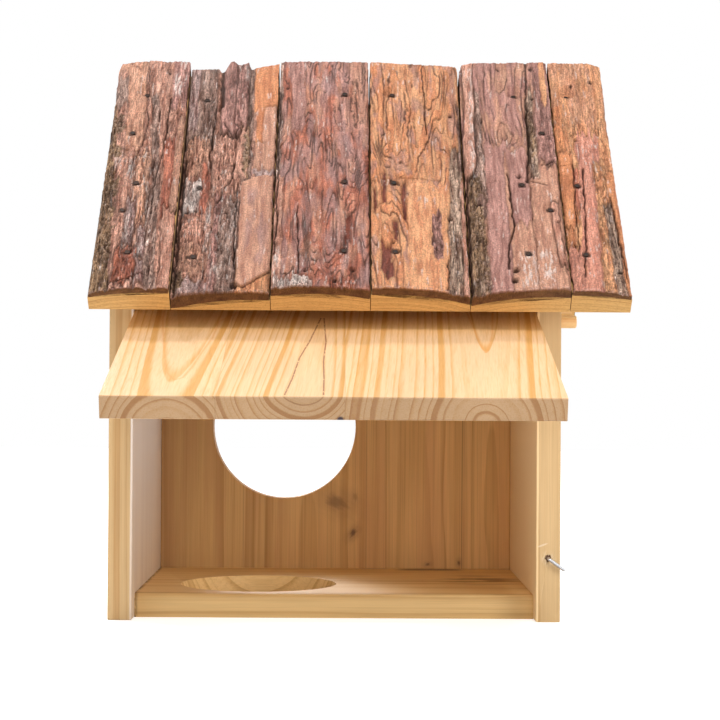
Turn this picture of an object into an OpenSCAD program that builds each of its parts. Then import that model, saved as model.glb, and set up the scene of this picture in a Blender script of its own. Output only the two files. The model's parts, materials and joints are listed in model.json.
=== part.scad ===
// Squirrel house: a gabled box of pine boards under a roof of bark-covered slabs.
// X runs to the right, Y to the back and Z up. The origin is under the middle of the body.

/* [Body] */
// Width over both side boards
body_w = 280; // [220:1:340]
// Depth from the front edges of the sides to the outer face of the back
body_d = 200; // [170:1:240]
// Height of the sides at the eaves
eave_h = 232.8; // [210:0.2:280]
// Slope of the roof in degrees
pitch = 45.6; // [35:0.2:52]
// Thickness of the two side boards
side_t = 15; // [12:0.5:20]
// Thickness of the back panel
back_t = 15; // [10:0.5:20]
// Thickness of the floor board
floor_t = 15; // [10:0.5:20]
// Clearance between the closed flap and the front edge of the floor
floor_gap = 2.5; // [1:0.5:8]

/* [Entrance holes] */
// Diameter of the round hole in the back panel
back_hole_d = 102; // [60:1:110]
// Sideways place of the back hole from the middle
back_hole_x = -37; // [-50:1:50]
// Height of the middle of the back hole
back_hole_z = 116; // [90:1:140]
// Diameter of the round hole in the floor
floor_hole_d = 102; // [60:1:110]
// Sideways place of the floor hole from the middle
floor_hole_x = -50; // [-55:1:50]
// Place of the floor hole from the middle, negative towards the front
floor_hole_y = -21; // [-25:1:20]

/* [Flap] */
// Thickness of the front flap
flap_t = 13; // [11:0.5:18]
// Gap between each end of the flap and the side board
flap_side_gap = 0.6; // [0.4:0.1:2]
// How far the closed flap sits behind the front edges of the sides
flap_recess = 0.5; // [0.2:0.1:3]
// Gap under the closed flap
flap_foot_gap = 3; // [1:0.5:10]
// Height from the hinge axis to the sides' eaves
hinge_drop = 46.4; // [38:0.2:70]
// Height of the flap's top edge above the hinge axis
flap_head = 32; // [10:1:34]
// How far the flap stands open, in degrees from closed
flap_open = 73.25; // [0:0.25:80]

/* [Hinge dowels] */
// Diameter of the two wooden hinge dowels
dowel_d = 8; // [5:0.5:9]
// Length of each dowel inside the flap
dowel_grip = 30; // [15:1:50]
// How far the right dowel stands out of the side board
dowel_proud = 10; // [1:1:20]
// Rounding at the end that stands out
dowel_chamfer = 0.6; // [0.2:0.1:1.5]
// Radial clearance of the flap on its dowels
dowel_play = 0.08; // [0.05:0.01:0.3]

/* [Turn hook] */
// Diameter of the hook's wire
hook_d = 2; // [1.5:0.1:3]
// Reach of the hook's arm from its screw axis
hook_reach = 12.5; // [11:0.5:18]
// Distance from the side board to the middle of the arm
hook_stand = 3; // [2.5:0.1:6]
// Depth of the hook's screw in the side board
hook_depth = 16; // [8:1:30]
// Height of the hook's screw
hook_h = 39.5; // [25:0.5:120]
// Direction of the arm, in degrees above the right-hand side
hook_turn = -36; // [-80:1:80]

/* [Roof] */
// How far the roof passes the front and the back, level
eave_over = 41.4; // [36:0.2:60]
// How far the roof passes the left side board
roof_over_left = 7.5; // [4:0.5:30]
// How far the roof passes the right side board
roof_over_right = 36.7; // [20:0.1:50]
// Width of the leftmost slab
first_slab_w = 49; // [30:1:60]
// Width of the rightmost slab
last_slab_w = 36.4; // [24:0.2:50]
// Gap between neighbouring slabs
slab_gap = 0.4; // [0.2:0.1:1.5]
// Thickness of a full slab with its bark
slab_t = 20; // [16:0.5:26]
// Radius of the logs that the slabs were sawn from
log_r = 150; // [110:5:250]
// Depth of the furrows in the bark
bark_relief = 2; // [0:0.1:2.5]

/* [Battens] */
// Width of the eave and middle battens
batten_w = 22; // [16:1:26]
// Thickness of the eave and middle battens
batten_t = 10; // [8:0.5:14]
// Gap between the eave battens and the body
eave_batten_gap = 3.2; // [1:0.1:5]
// Distance up the slope from the body's edge to the middle of the middle batten
middle_batten_in = 39.4; // [32:0.2:50]
// Side of the ridge batten
ridge_batten_w = 26; // [20:1:30]
// Drop of the ridge batten's flat sides below the slabs
ridge_batten_drop = 6; // [4:0.5:12]
// How far the battens stop short of the roof's ends
batten_inset = 4; // [2:0.5:10]

/* [Fasteners] */
// Diameter of the wood screws
screw_d = 3.5; // [2.5:0.1:4.5]
// Length of the wood screws
screw_l = 35; // [25:1:45]
// Diameter of the roof nails
nail_d = 2; // [1.4:0.1:2.6]
// Diameter of the nail heads
nail_head_d = 3.2; // [2.8:0.1:5]
// How far the nail heads are driven below the bark
nail_sink = 2; // [1:0.5:4]
// Length of the roof nails inside the side boards
rake_bite = 22; // [12:1:35]
// Distance from the floor's ends to its screws
floor_screw_in = 25; // [15:1:40]
// Distance from the back panel's foot and top to its end screws
back_screw_in = 30; // [20:1:45]

/* [Hidden] */
$fn = 96;
fit = 0.05;            // clearance of a fastener in its hole
notch_fit = 0.2;       // clearance of a batten in its notch
past = 1;              // how far a cutting shape passes a face
arris = 0.8;           // chamfer along the flap's long edges
floor_round = 3;       // rounding of the floor's top front edge
round_steps = 6;

inner_w = body_w - 2 * side_t;
front_y = -body_d / 2;
back_y = body_d / 2;
rise = tan(pitch);
ridge_h = eave_h + body_d / 2 * rise;

overhang_s = eave_over / cos(pitch);
slab_l = overhang_s + body_d / 2 / cos(pitch);
far = 2 * (body_w + body_d + slab_l);

floor_front = front_y + flap_recess + flap_t + floor_gap;
floor_back = back_y - back_t;

flap_w = inner_w - 2 * flap_side_gap;
hinge_h = eave_h - hinge_drop;
hinge_y = front_y + flap_recess + flap_t / 2;

eave_y = front_y - eave_over;
eave_z = eave_h - eave_over * rise;
slab_cut_l = 1.5 * slab_l;   // long enough to be cut off at the ridge

roof_left = -body_w / 2 - roof_over_left;
roof_right = body_w / 2 + roof_over_right;
middle_slab_w = (roof_right - roof_left - first_slab_w - last_slab_w) / 4;
SLABS = [1, 2, 3, 4, 5, 6];

// Left edge of slab i, counted from 1; slab 7 would start at the roof's right end
function slab_x(i) =
    i == 1 ? roof_left :
    i == 7 ? roof_right :
    roof_left + first_slab_w + (i - 2) * middle_slab_w;

// One row for each slab, in shares. The crown is where the wood is thickest: its height in
// slab_t, and its place across the slab from 0 at the left edge to 1 at the right. Then the
// height of the bark at the left edge, middle and right edge, in slab_t.
FRONT_LOGS = [
    [0.68, 0.72, 0.70, 0.93, 0.90],
    [0.42, 0.82, 0.65, 0.82, 0.82],
    [0.68, 0.42, 1.00, 1.05, 0.95],
    [0.67, 0.18, 0.99, 0.95, 0.68],
    [0.60, 0.80, 0.70, 0.93, 0.98],
    [0.68, 0.12, 0.92, 0.90, 0.73]
];
REAR_LOGS = [
    [0.65, 0.70, 0.75, 0.95, 0.91],
    [0.67, 0.30, 0.97, 0.94, 0.70],
    [0.60, 0.55, 0.78, 0.97, 0.85],
    [0.69, 0.60, 0.85, 1.02, 0.95],
    [0.61, 0.35, 0.92, 0.91, 0.71],
    [0.66, 0.20, 0.90, 0.86, 0.72]
];
CROWN = 0;
CROWN_AT = 1;
BARK_LEFT = 2;
BARK_MIDDLE = 3;
BARK_RIGHT = 4;

bark_steps = 14;             // facets across one slab's bark
bark_least = 2;              // thinnest bark over the wood
wood_least = 1;              // thinnest wood at a slab's edge

screw_head_d = 2 * screw_d;
screw_head_l = screw_d / 2;
screw_tip_l = 1.5 * screw_d;
screw_point_d = 0.3;
slot_w = 0.9;
slot_depth = 1.2;

nail_head_t = 1;
// Places up the slope from the eave: the battens' middles and the nails' rows
eave_batten_s = (eave_over - eave_batten_gap - batten_t * sin(pitch)) / cos(pitch) - batten_w / 2;
middle_batten_s = overhang_s + middle_batten_in;
nail_rows = [eave_batten_s, middle_batten_s, slab_l - ridge_batten_w / 2];
rake_rows = [(overhang_s + middle_batten_s - batten_w / 2) / 2, (middle_batten_s + slab_l) / 2];
nail_short = 1.5;            // wood left under a nail's point in a batten
nail_bite = batten_t - nail_short;
NAIL_AT = [0.44, 0.2, 0.73, 0.25, 0.6, 0.3];    // place of each slab's nails across it

// Places

// Takes a shape drawn flat to the front slope: x along the eave, y up the slope from the
// eave's lower edge, z out of the roof from the underside of the slabs
module on_front() {
    translate([0, eave_y, eave_z]) rotate([pitch, 0, 0]) children();
}

module on_rear() {
    mirror([0, 1, 0]) on_front() children();
}

// Everything in front of the plane in which the two slopes meet
module front_half() {
    translate([-far / 2, -far, 0]) cube([far, far, far]);
}

// Stands an outline drawn in y and z up and gives it a width along x
module along_x(x0, width) {
    translate([x0, 0, 0]) rotate([90, 0, 90]) linear_extrude(width) children();
}

// A cylinder along x from x0 to x1
module rod_x(x0, x1, d) {
    translate([x0, 0, 0]) rotate([0, 90, 0]) cylinder(h = x1 - x0, d = d);
}

module at_hinge() {
    translate([0, hinge_y, hinge_h]) children();
}

module at_hook() {
    translate([body_w / 2 - side_t / 2, front_y, hook_h]) children();
}

// Logs and bark

function log_of(front, i) = front ? FRONT_LOGS[i - 1] : REAR_LOGS[i - 1];
function slab_w(i) = slab_x(i + 1) - slab_x(i) - slab_gap;
function slab_left(i) = slab_x(i) + slab_gap / 2;

// Height of the wood at share t of the slab's width: an arc of the log's own radius
function wood_top(log, i, t) =
    max(wood_least,
        slab_t * log[CROWN] - log_r + sqrt(pow(log_r, 2) - pow((t - log[CROWN_AT]) * slab_w(i), 2)));

// Height of smooth bark at share t, through its left, middle and right heights
function bark_swell(log, t) = slab_t * (
    log[BARK_LEFT] * (1 - t) * (1 - 2 * t) +
    log[BARK_MIDDLE] * 4 * t * (1 - t) +
    log[BARK_RIGHT] * t * (2 * t - 1));

function furrow(i, k) = bark_relief * (0.5 - 0.5 * sin(97 * i + 151 * k));

function bark_top(log, i, k) =
    max(wood_top(log, i, k / bark_steps) + bark_least, bark_swell(log, k / bark_steps) - furrow(i, k));

function step_x(i, k) = slab_left(i) + slab_w(i) * k / bark_steps;

function wood_line(log, i) = [for (k = [0 : bark_steps]) [step_x(i, k), wood_top(log, i, k / bark_steps)]];

function bark_line(log, i) = [for (k = [bark_steps : -1 : 0]) [step_x(i, k), bark_top(log, i, k)]];

// Runs an outline drawn across a slab up the slope, and mitres it at the ridge
module up_the_slope() {
    intersection() {
        on_front() translate([0, slab_cut_l, 0]) rotate([90, 0, 0]) linear_extrude(slab_cut_l) children();
        front_half();
    }
}

module slab_wood(log, i) {
    up_the_slope() polygon(concat(
        [[slab_left(i) + slab_w(i), 0], [slab_left(i), 0]], wood_line(log, i)));
}

module slab_bark(log, i) {
    up_the_slope() polygon(concat(wood_line(log, i), bark_line(log, i)));
}

// Roof nails

function nail_x(i) = slab_left(i) + slab_w(i) * NAIL_AT[i - 1];
function nail_top(log, i, x) = bark_swell(log, (x - slab_left(i)) / slab_w(i)) - nail_sink;
function rake_x(i) = i == 1 ? -(body_w - side_t) / 2 : (body_w - side_t) / 2;
function has_rake_nails(i) = i == 1 || i == 5;

// One nail, or with a clearance the hole that it was driven into, open above its head
module nail(top, bite, clearance = 0) {
    translate([0, 0, -bite - clearance]) cylinder(h = top + bite, d = nail_d + 2 * clearance);
    translate([0, 0, top - nail_head_t - clearance])
        cylinder(h = nail_head_t + (clearance > 0 ? far / 10 : 0), d = nail_head_d + 2 * clearance);
}

// The nails of slab i, flat to the slope
module slab_nails(front, i, clearance = 0) {
    log = log_of(front, i);
    for (s = nail_rows)
        translate([nail_x(i), s, 0]) nail(nail_top(log, i, nail_x(i)), nail_bite, clearance);
    if (has_rake_nails(i))
        for (s = rake_rows)
            translate([rake_x(i), s, 0]) nail(nail_top(log, i, rake_x(i)), rake_bite, clearance);
}

module all_nails(front, clearance = 0) {
    for (i = SLABS) slab_nails(front, i, clearance);
}

module roof_slab(front, i) {
    mirror([0, front ? 0 : 1, 0]) difference() {
        slab_wood(log_of(front, i), i);
        on_front() slab_nails(front, i, fit);
    }
}

module roof_bark(front, i) {
    mirror([0, front ? 0 : 1, 0]) difference() {
        slab_bark(log_of(front, i), i);
        on_front() slab_nails(front, i, fit);
    }
}

// Battens

// A notch's cutter reaches past the slope that it is cut into
function lift(clearance) = clearance > 0 ? past : 0;

// A batten, or with a clearance the notch that it lies in
module batten(s, clearance = 0) {
    translate([roof_left + batten_inset, s - batten_w / 2 - clearance, -batten_t - clearance])
        cube([roof_right - roof_left - 2 * batten_inset, batten_w + 2 * clearance,
              batten_t + clearance + lift(clearance)]);
}

module roof_batten(front, s) {
    mirror([0, front ? 0 : 1, 0]) difference() {
        on_front() batten(s);
        on_front() all_nails(front, fit);
    }
}

// The ridge batten's outline: a flat underside, two flat sides and the two slopes on top
module ridge_outline(clearance = 0) {
    half = ridge_batten_w / 2 + clearance;
    bottom = ridge_h - ridge_batten_w / 2 * rise - ridge_batten_drop - clearance;
    shoulder = ridge_h - half * rise + lift(clearance);
    polygon([
        [-half, bottom], [half, bottom], [half, shoulder], [0, ridge_h + lift(clearance)], [-half, shoulder]
    ]);
}

module ridge_prism(clearance = 0) {
    along_x(roof_left + batten_inset, roof_right - roof_left - 2 * batten_inset) ridge_outline(clearance);
}

module ridge_batten() {
    color("burlywood") difference() {
        ridge_prism();
        on_front() all_nails(true, fit);
        on_rear() all_nails(false, fit);
    }
}

// Screws through the sides

function side_screw_places() = [
    [floor_front + floor_screw_in, floor_t / 2],
    [floor_back - floor_screw_in, floor_t / 2],
    [back_y - back_t / 2, back_screw_in],
    [back_y - back_t / 2, back_hole_z],
    [back_y - back_t / 2, eave_h - back_screw_in]
];

// One countersunk screw pointing along x from its head at the origin, or its hole
module screw(clearance = 0) {
    shank = screw_l - screw_tip_l;
    rotate([0, 90, 0]) {
        cylinder(h = screw_head_l, d1 = screw_head_d + 2 * clearance, d2 = screw_d + 2 * clearance);
        cylinder(h = shank, d = screw_d + 2 * clearance);
        translate([0, 0, shank])
            cylinder(h = screw_tip_l + clearance,
                     d1 = screw_d + 2 * clearance, d2 = screw_point_d + 2 * clearance);
    }
}

module left_side_screws(clearance = 0) {
    for (p = side_screw_places())
        translate([-body_w / 2, p[0], p[1]]) screw(clearance);
}

module right_side_screws(clearance = 0) {
    mirror([1, 0, 0]) left_side_screws(clearance);
}

// Straight slots in the screws' heads
module screw_slots() {
    for (p = side_screw_places())
        translate([-body_w / 2 - past, p[0] - screw_head_d / 2, p[1] - slot_w / 2])
            cube([slot_depth + past, screw_head_d, slot_w]);
}

module left_screws() {
    color("silver") difference() {
        left_side_screws();
        screw_slots();
    }
}

module right_screws() {
    color("silver") difference() {
        right_side_screws();
        mirror([1, 0, 0]) screw_slots();
    }
}

// Side boards

module gable_outline() {
    polygon([[front_y, 0], [back_y, 0], [back_y, eave_h], [0, ridge_h], [front_y, eave_h]]);
}

module batten_notches() {
    on_front() batten(middle_batten_s, notch_fit);
    on_rear() batten(middle_batten_s, notch_fit);
    ridge_prism(notch_fit);
}

module side_board(x0) {
    difference() {
        along_x(x0, side_t) gable_outline();
        batten_notches();
        at_hinge() rod_x(x0 - past, x0 + side_t + past, dowel_d + 2 * fit);
        on_front() all_nails(true, fit);
        on_rear() all_nails(false, fit);
    }
}

module left_side() {
    color("wheat") difference() {
        side_board(-body_w / 2);
        left_side_screws(fit);
    }
}

module right_side() {
    color("wheat") difference() {
        side_board(body_w / 2 - side_t);
        right_side_screws(fit);
        at_hook() rotate([-90, 0, 0]) translate([0, 0, -past])
            cylinder(h = hook_depth + 2 * past, d = hook_d + 2 * fit);
    }
}

// Back and floor

module back_panel() {
    color("tan") difference() {
        translate([-inner_w / 2, back_y - back_t, 0]) cube([inner_w, back_t, eave_h]);
        translate([back_hole_x, back_y - back_t - past, back_hole_z])
            rotate([-90, 0, 0]) cylinder(h = back_t + 2 * past, d = back_hole_d);
        left_side_screws(fit);
        right_side_screws(fit);
    }
}

module floor_outline() {
    polygon(concat(
        [[floor_back, 0], [floor_back, floor_t]],
        [for (k = [0 : round_steps])
            [floor_front + floor_round * (1 - sin(90 * k / round_steps)),
             floor_t - floor_round * (1 - cos(90 * k / round_steps))]],
        [[floor_front, 0]]
    ));
}

module floor_board() {
    color("navajowhite") difference() {
        along_x(-inner_w / 2, inner_w) floor_outline();
        translate([floor_hole_x, floor_hole_y, -past]) cylinder(h = floor_t + 2 * past, d = floor_hole_d);
        left_side_screws(fit);
        right_side_screws(fit);
    }
}

// Flap and its dowels

module flap_outline() {
    t = flap_t / 2;
    foot = flap_foot_gap - hinge_h;
    polygon([
        [-t + arris, foot], [t - arris, foot], [t, foot + arris], [t, flap_head - arris],
        [t - arris, flap_head], [-t + arris, flap_head], [-t, flap_head - arris], [-t, foot + arris]
    ]);
}

module flap() {
    color("moccasin") at_hinge() rotate([-flap_open, 0, 0]) difference() {
        along_x(-flap_w / 2, flap_w) flap_outline();
        for (end = [-1, 1] * flap_w / 2)
            rod_x(end - dowel_grip - past, end + dowel_grip + past, dowel_d + 2 * dowel_play);
    }
}

module hinge_dowel_left() {
    color("peru") at_hinge() rod_x(-body_w / 2, -flap_w / 2 + dowel_grip, dowel_d);
}

module hinge_dowel_right() {
    color("peru") at_hinge() {
        rod_x(flap_w / 2 - dowel_grip, body_w / 2 + dowel_proud - dowel_chamfer, dowel_d);
        translate([body_w / 2 + dowel_proud - dowel_chamfer, 0, 0]) rotate([0, 90, 0])
            cylinder(h = dowel_chamfer, d1 = dowel_d, d2 = dowel_d - 2 * dowel_chamfer);
    }
}

// Turn hook: a screw into the side board's front edge, a quarter bend and a straight arm

module turn_hook() {
    bend_y = hook_d - hook_stand;
    arm_l = hook_reach - 1.5 * hook_d;
    color("gainsboro") at_hook() rotate([0, -hook_turn, 0]) {
        translate([0, bend_y, 0]) rotate([-90, 0, 0]) cylinder(h = hook_depth - bend_y, d = hook_d);
        translate([hook_d, bend_y, 0]) rotate([0, 0, 180])
            rotate_extrude(angle = 90) translate([hook_d, 0]) circle(d = hook_d);
        translate([hook_d, -hook_stand, 0]) rotate([0, 90, 0]) cylinder(h = arm_l, d = hook_d);
        translate([hook_d + arm_l, -hook_stand, 0]) sphere(d = hook_d);
    }
}

// Roof pieces

module front_slab(i) { color("tan") roof_slab(true, i); }
module rear_slab(i) { color("tan") roof_slab(false, i); }
module front_bark(i) { color("sienna") roof_bark(true, i); }
module rear_bark(i) { color("sienna") roof_bark(false, i); }

module front_eave_batten() { color("burlywood") roof_batten(true, eave_batten_s); }
module rear_eave_batten() { color("burlywood") roof_batten(false, eave_batten_s); }
module front_middle_batten() { color("burlywood") roof_batten(true, middle_batten_s); }
module rear_middle_batten() { color("burlywood") roof_batten(false, middle_batten_s); }

module front_roof_nails() { color("dimgray") on_front() all_nails(true); }
module rear_roof_nails() { color("dimgray") on_rear() all_nails(false); }

left_side();
right_side();
back_panel();
floor_board();
flap();
hinge_dowel_left();
hinge_dowel_right();
turn_hook();
for (i = SLABS) {
    front_slab(i);
    front_bark(i);
    rear_slab(i);
    rear_bark(i);
}
front_eave_batten();
front_middle_batten();
rear_eave_batten();
rear_middle_batten();
ridge_batten();
front_roof_nails();
rear_roof_nails();
left_screws();
right_screws();
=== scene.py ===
import json
import math
import bmesh
import bpy
import numpy as np
from mathutils import Matrix, Vector


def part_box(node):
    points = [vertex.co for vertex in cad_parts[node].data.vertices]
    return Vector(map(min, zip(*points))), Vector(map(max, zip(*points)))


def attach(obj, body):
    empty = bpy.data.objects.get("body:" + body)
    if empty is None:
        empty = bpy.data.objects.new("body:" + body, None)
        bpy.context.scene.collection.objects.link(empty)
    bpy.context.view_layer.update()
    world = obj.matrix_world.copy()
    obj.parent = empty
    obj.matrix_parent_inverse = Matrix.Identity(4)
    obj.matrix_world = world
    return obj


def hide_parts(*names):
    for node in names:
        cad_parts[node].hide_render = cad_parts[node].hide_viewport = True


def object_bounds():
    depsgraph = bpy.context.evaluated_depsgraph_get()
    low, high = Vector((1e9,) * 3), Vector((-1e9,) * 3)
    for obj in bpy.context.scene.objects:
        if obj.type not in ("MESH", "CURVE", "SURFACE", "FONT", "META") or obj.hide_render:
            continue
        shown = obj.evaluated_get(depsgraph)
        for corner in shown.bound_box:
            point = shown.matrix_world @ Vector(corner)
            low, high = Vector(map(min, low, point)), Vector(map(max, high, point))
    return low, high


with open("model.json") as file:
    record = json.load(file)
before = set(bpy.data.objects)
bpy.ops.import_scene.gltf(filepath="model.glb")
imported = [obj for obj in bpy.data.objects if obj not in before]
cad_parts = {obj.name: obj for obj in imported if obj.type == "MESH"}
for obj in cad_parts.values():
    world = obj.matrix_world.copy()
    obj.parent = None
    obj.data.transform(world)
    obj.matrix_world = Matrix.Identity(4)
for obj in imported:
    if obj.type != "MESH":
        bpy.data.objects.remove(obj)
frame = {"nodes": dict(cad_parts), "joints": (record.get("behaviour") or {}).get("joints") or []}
cad_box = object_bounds()

# Camera, lamps and floor
# A long lens in front of the house, a little below the eaves, turned slightly to the right.
# One lamp stands high in front, so that the eave throws its shadow on the flap; a fill stands at the right.

IMAGE_PX = 720
SENSOR = 36.0
FOCAL_PX = 1899.4
CAMERA_AT = Vector((0.00533, -1.27643, 0.14615))
CAMERA_RIGHT = 0.0084
CAMERA_UP = 0.0132
CAMERA_ROLL = 0.0062

scene = bpy.context.scene
scene.view_settings.view_transform = "Standard"

camera_data = bpy.data.cameras.new("camera")
camera_data.sensor_width = SENSOR
camera_data.lens = FOCAL_PX * SENSOR / IMAGE_PX
camera = bpy.data.objects.new("camera", camera_data)
scene.collection.objects.link(camera)
camera_turn = (
    Matrix.Rotation(-CAMERA_RIGHT, 4, "Z")
    @ Matrix.Rotation(math.pi / 2 + CAMERA_UP, 4, "X")
    @ Matrix.Rotation(CAMERA_ROLL, 4, "Z")
)
camera.matrix_world = Matrix.Translation(CAMERA_AT) @ camera_turn
scene.camera = camera


def photo_ray(px, py):
    """The direction from the camera in which a pixel of the photograph lies."""
    return camera_turn.to_3x3() @ Vector((px - IMAGE_PX / 2, IMAGE_PX / 2 - py, -FOCAL_PX))


def soft_box(name, place, target, size, power, colour):
    """A square lamp at place, turned towards target."""
    data = bpy.data.lights.new(name, "AREA")
    data.shape = "SQUARE"
    data.size = size
    data.energy = power
    data.color = colour
    lamp = bpy.data.objects.new(name, data)
    scene.collection.objects.link(lamp)
    aim = (Vector(target) - Vector(place)).to_track_quat("-Z", "Y")
    lamp.matrix_world = Matrix.Translation(place) @ aim.to_matrix().to_4x4()


HOUSE_MIDDLE = (0.0, -0.05, 0.18)
soft_box("key_lamp", (0.10, -1.05, 1.50), HOUSE_MIDDLE, 0.34, 12.5, (1.0, 0.985, 0.955))
soft_box("right_fill", (1.25, -1.10, 0.42), (-0.12, 0.0, 0.12), 0.7, 8.6, (1.0, 0.99, 0.97))
soft_box("left_fill", (-1.30, -1.00, 0.60), (0.0, 0.0, 0.15), 0.9, 2, (1.0, 1.0, 1.0))
soft_box("front_fill", (0.05, -1.75, 0.22), (0.0, 0.0, 0.10), 0.6, 3.0, (1.0, 1.0, 1.0))
soft_box("ridge_lamp", (-0.60, 0.28, 1.20), (0.0, -0.07, 0.27), 0.22, 8, (1.0, 0.98, 0.95))
soft_box("rear_lamp", (-0.30, 1.30, 1.20), HOUSE_MIDDLE, 0.8, 5.5, (1.0, 1.0, 1.0))
soft_box("low_rear_lamp", (-0.25, 1.35, 0.85), (-0.04, 0.09, 0.10), 0.35, 9, (1.0, 1.0, 1.0))


def add_node(tree, kind, inputs=None, **settings):
    """Adds a shader node, sets its settings and fills or links its inputs."""
    made = tree.nodes.new("ShaderNode" + kind)
    for key, value in settings.items():
        setattr(made, key, value)
    for key, value in (inputs or {}).items():
        if isinstance(value, bpy.types.NodeSocket):
            tree.links.new(value, made.inputs[key])
        else:
            made.inputs[key].default_value = value
    return made


def new_material(name):
    """A material with nodes, its tree and its Principled shader."""
    material = bpy.data.materials.new(name)
    material.use_nodes = True
    tree = material.node_tree
    return material, tree, tree.nodes["Principled BSDF"]


# Whatever looks past the object, or is mirrored in its steel, meets plain white.
WORLD_LIGHT = 0.60
world = bpy.data.worlds.new("studio")
world.use_nodes = True
scene.world = world
sky = world.node_tree
sky_seen = add_node(sky, "LightPath")
sky_seen_or_mirrored = add_node(sky, "Math", {
    0: sky_seen.outputs["Is Camera Ray"], 1: sky_seen.outputs["Is Glossy Ray"]}, operation="MAXIMUM")
sky_strength = add_node(sky, "MapRange", {
    "Value": sky_seen_or_mirrored.outputs[0], "To Min": WORLD_LIGHT, "To Max": 1.0})
sky.links.new(sky_strength.outputs[0], sky.nodes["Background"].inputs["Strength"])
sky.nodes["Background"].inputs["Color"].default_value = (1.0, 1.0, 1.0, 1.0)

FLOOR_SIZE = 6.0
FLOOR_SELF_LIGHT = 0.62
bm = bmesh.new()
bmesh.ops.create_grid(bm, x_segments=1, y_segments=1, size=FLOOR_SIZE / 2)
floor_mesh = bpy.data.meshes.new("studio_floor")
bm.to_mesh(floor_mesh)
bm.free()
studio_floor = bpy.data.objects.new("studio_floor", floor_mesh)
scene.collection.objects.link(studio_floor)
floor_material, tree, shader = new_material("studio_floor")
shader.inputs["Base Color"].default_value = (0.86, 0.86, 0.86, 1.0)
shader.inputs["Roughness"].default_value = 0.9
shader.inputs["Specular IOR Level"].default_value = 0.1
shader.inputs["Emission Color"].default_value = (1.0, 1.0, 1.0, 1.0)
floor_seen = add_node(tree, "LightPath")
floor_light = add_node(tree, "Math", {
    0: floor_seen.outputs["Is Camera Ray"], 1: FLOOR_SELF_LIGHT}, operation="MULTIPLY")
tree.links.new(floor_light.outputs[0], shader.inputs["Emission Strength"])
floor_mesh.materials.append(floor_material)


# Side boards
# Two boards of planed pine, cut to a gable at the top, with the fibres upright.
# The roof is nailed to their slopes, and the back panel and the floor are screwed between them.

MM = 0.001
BOARD_ARRIS = 0.0007
PINE_ROUGHNESS = 0.52


def math_node(tree, operation, a, b=0.0, c=0.0):
    """One sum of a shader, as a socket."""
    return add_node(tree, "Math", {0: a, 1: b, 2: c}, operation=operation).outputs[0]


def times(tree, a, b):
    """The product of two values, as a socket."""
    return math_node(tree, "MULTIPLY", a, b)


def apart(tree, a, b):
    """How far two values lie from each other, as a socket."""
    return math_node(tree, "ABSOLUTE", math_node(tree, "SUBTRACT", a, b))


def blend(tree, factor, a, b, way="MIX"):
    """Colour b over colour a by factor, as a socket."""
    made = add_node(tree, "Mix", {0: factor, 6: a, 7: b}, data_type="RGBA", blend_type=way)
    return made.outputs[2]


def noise(tree, place, scale, detail=2.0, rough=0.5):
    """Soft noise at a place in mm, with a scale per axis, as a socket from 0 to 1."""
    stretched = add_node(tree, "VectorMath", {0: place, 1: scale}, operation="MULTIPLY").outputs[0]
    return add_node(tree, "TexNoise", {
        "Vector": stretched, "Scale": 1.0, "Detail": detail, "Roughness": rough}).outputs["Fac"]


def ramp(tree, value, low, high, smooth=True):
    """Value taken to 0 at low and 1 at high, as a socket."""
    kind = "SMOOTHSTEP" if smooth else "LINEAR"
    return add_node(tree, "MapRange", {
        "Value": value, "From Min": low, "From Max": high}, interpolation_type=kind).outputs[0]


def spread(tree, value, low, high, least, most):
    """Value taken to least at low and to most at high, in a straight line, as a socket."""
    return add_node(tree, "MapRange", {
        "Value": value, "From Min": low, "From Max": high, "To Min": least, "To Max": most}).outputs[0]


def stretched(tree, spot, middle, turn, size, axes):
    """A spot in a turned and stretched frame round middle, and its distance from there along some axes."""
    place = add_node(tree, "Mapping", {
        "Vector": spot, "Location": middle, "Rotation": turn, "Scale": size},
        vector_type="TEXTURE").outputs[0]
    flat = add_node(tree, "VectorMath", {0: place, 1: axes}, operation="MULTIPLY").outputs[0]
    return place, add_node(tree, "VectorMath", {0: flat}, operation="LENGTH").outputs["Value"]


def new_group(name, inputs, outputs):
    """A node group with named sockets, and its input and output nodes."""
    group = bpy.data.node_groups.new(name, "ShaderNodeTree")
    for label, kind, value in inputs:
        socket = group.interface.new_socket(label, in_out="INPUT", socket_type="NodeSocket" + kind)
        if value is not None:
            socket.default_value = value
    for label, kind in outputs:
        group.interface.new_socket(label, in_out="OUTPUT", socket_type="NodeSocket" + kind)
    return group, group.nodes.new("NodeGroupInput"), group.nodes.new("NodeGroupOutput")


# Solid pine: year rings round a pith that runs along Z, from a place in mm whose Z axis is the pith.
PITH_WANDER = 2.6
pine_grain, given, result = new_group("pine_grain", [
    ("Place", "Vector", None),
    ("Ring", "Float", 4.5),
    ("Early", "Color", (0.85, 0.57, 0.29, 1.0)),
    ("Late", "Color", (0.62, 0.31, 0.10, 1.0)),
    ("Contrast", "Float", 0.8)],
    [("Color", "Color"), ("Height", "Float"), ("Radius", "Float"), ("Late", "Float")])
tree = pine_grain
place = given.outputs["Place"]
slow = add_node(tree, "VectorMath", {0: place, 1: (0.022, 0.022, 0.0045)}, operation="MULTIPLY")
sway = add_node(tree, "TexNoise", {
    "Vector": slow.outputs[0], "Scale": 1.0, "Detail": 2.0, "Roughness": 0.45})
centred = add_node(tree, "VectorMath", {0: sway.outputs["Color"], 1: (0.5, 0.5, 0.5)}, operation="SUBTRACT")
moved = add_node(tree, "VectorMath", {
    0: centred.outputs[0], 1: (PITH_WANDER * 2, PITH_WANDER * 2, 0.0), 2: place},
    operation="MULTIPLY_ADD")
fine = add_node(tree, "VectorMath", {0: place, 1: (0.16, 0.16, 0.02)}, operation="MULTIPLY")
shiver = add_node(tree, "TexNoise", {"Vector": fine.outputs[0], "Scale": 1.0, "Detail": 1.0})
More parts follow.
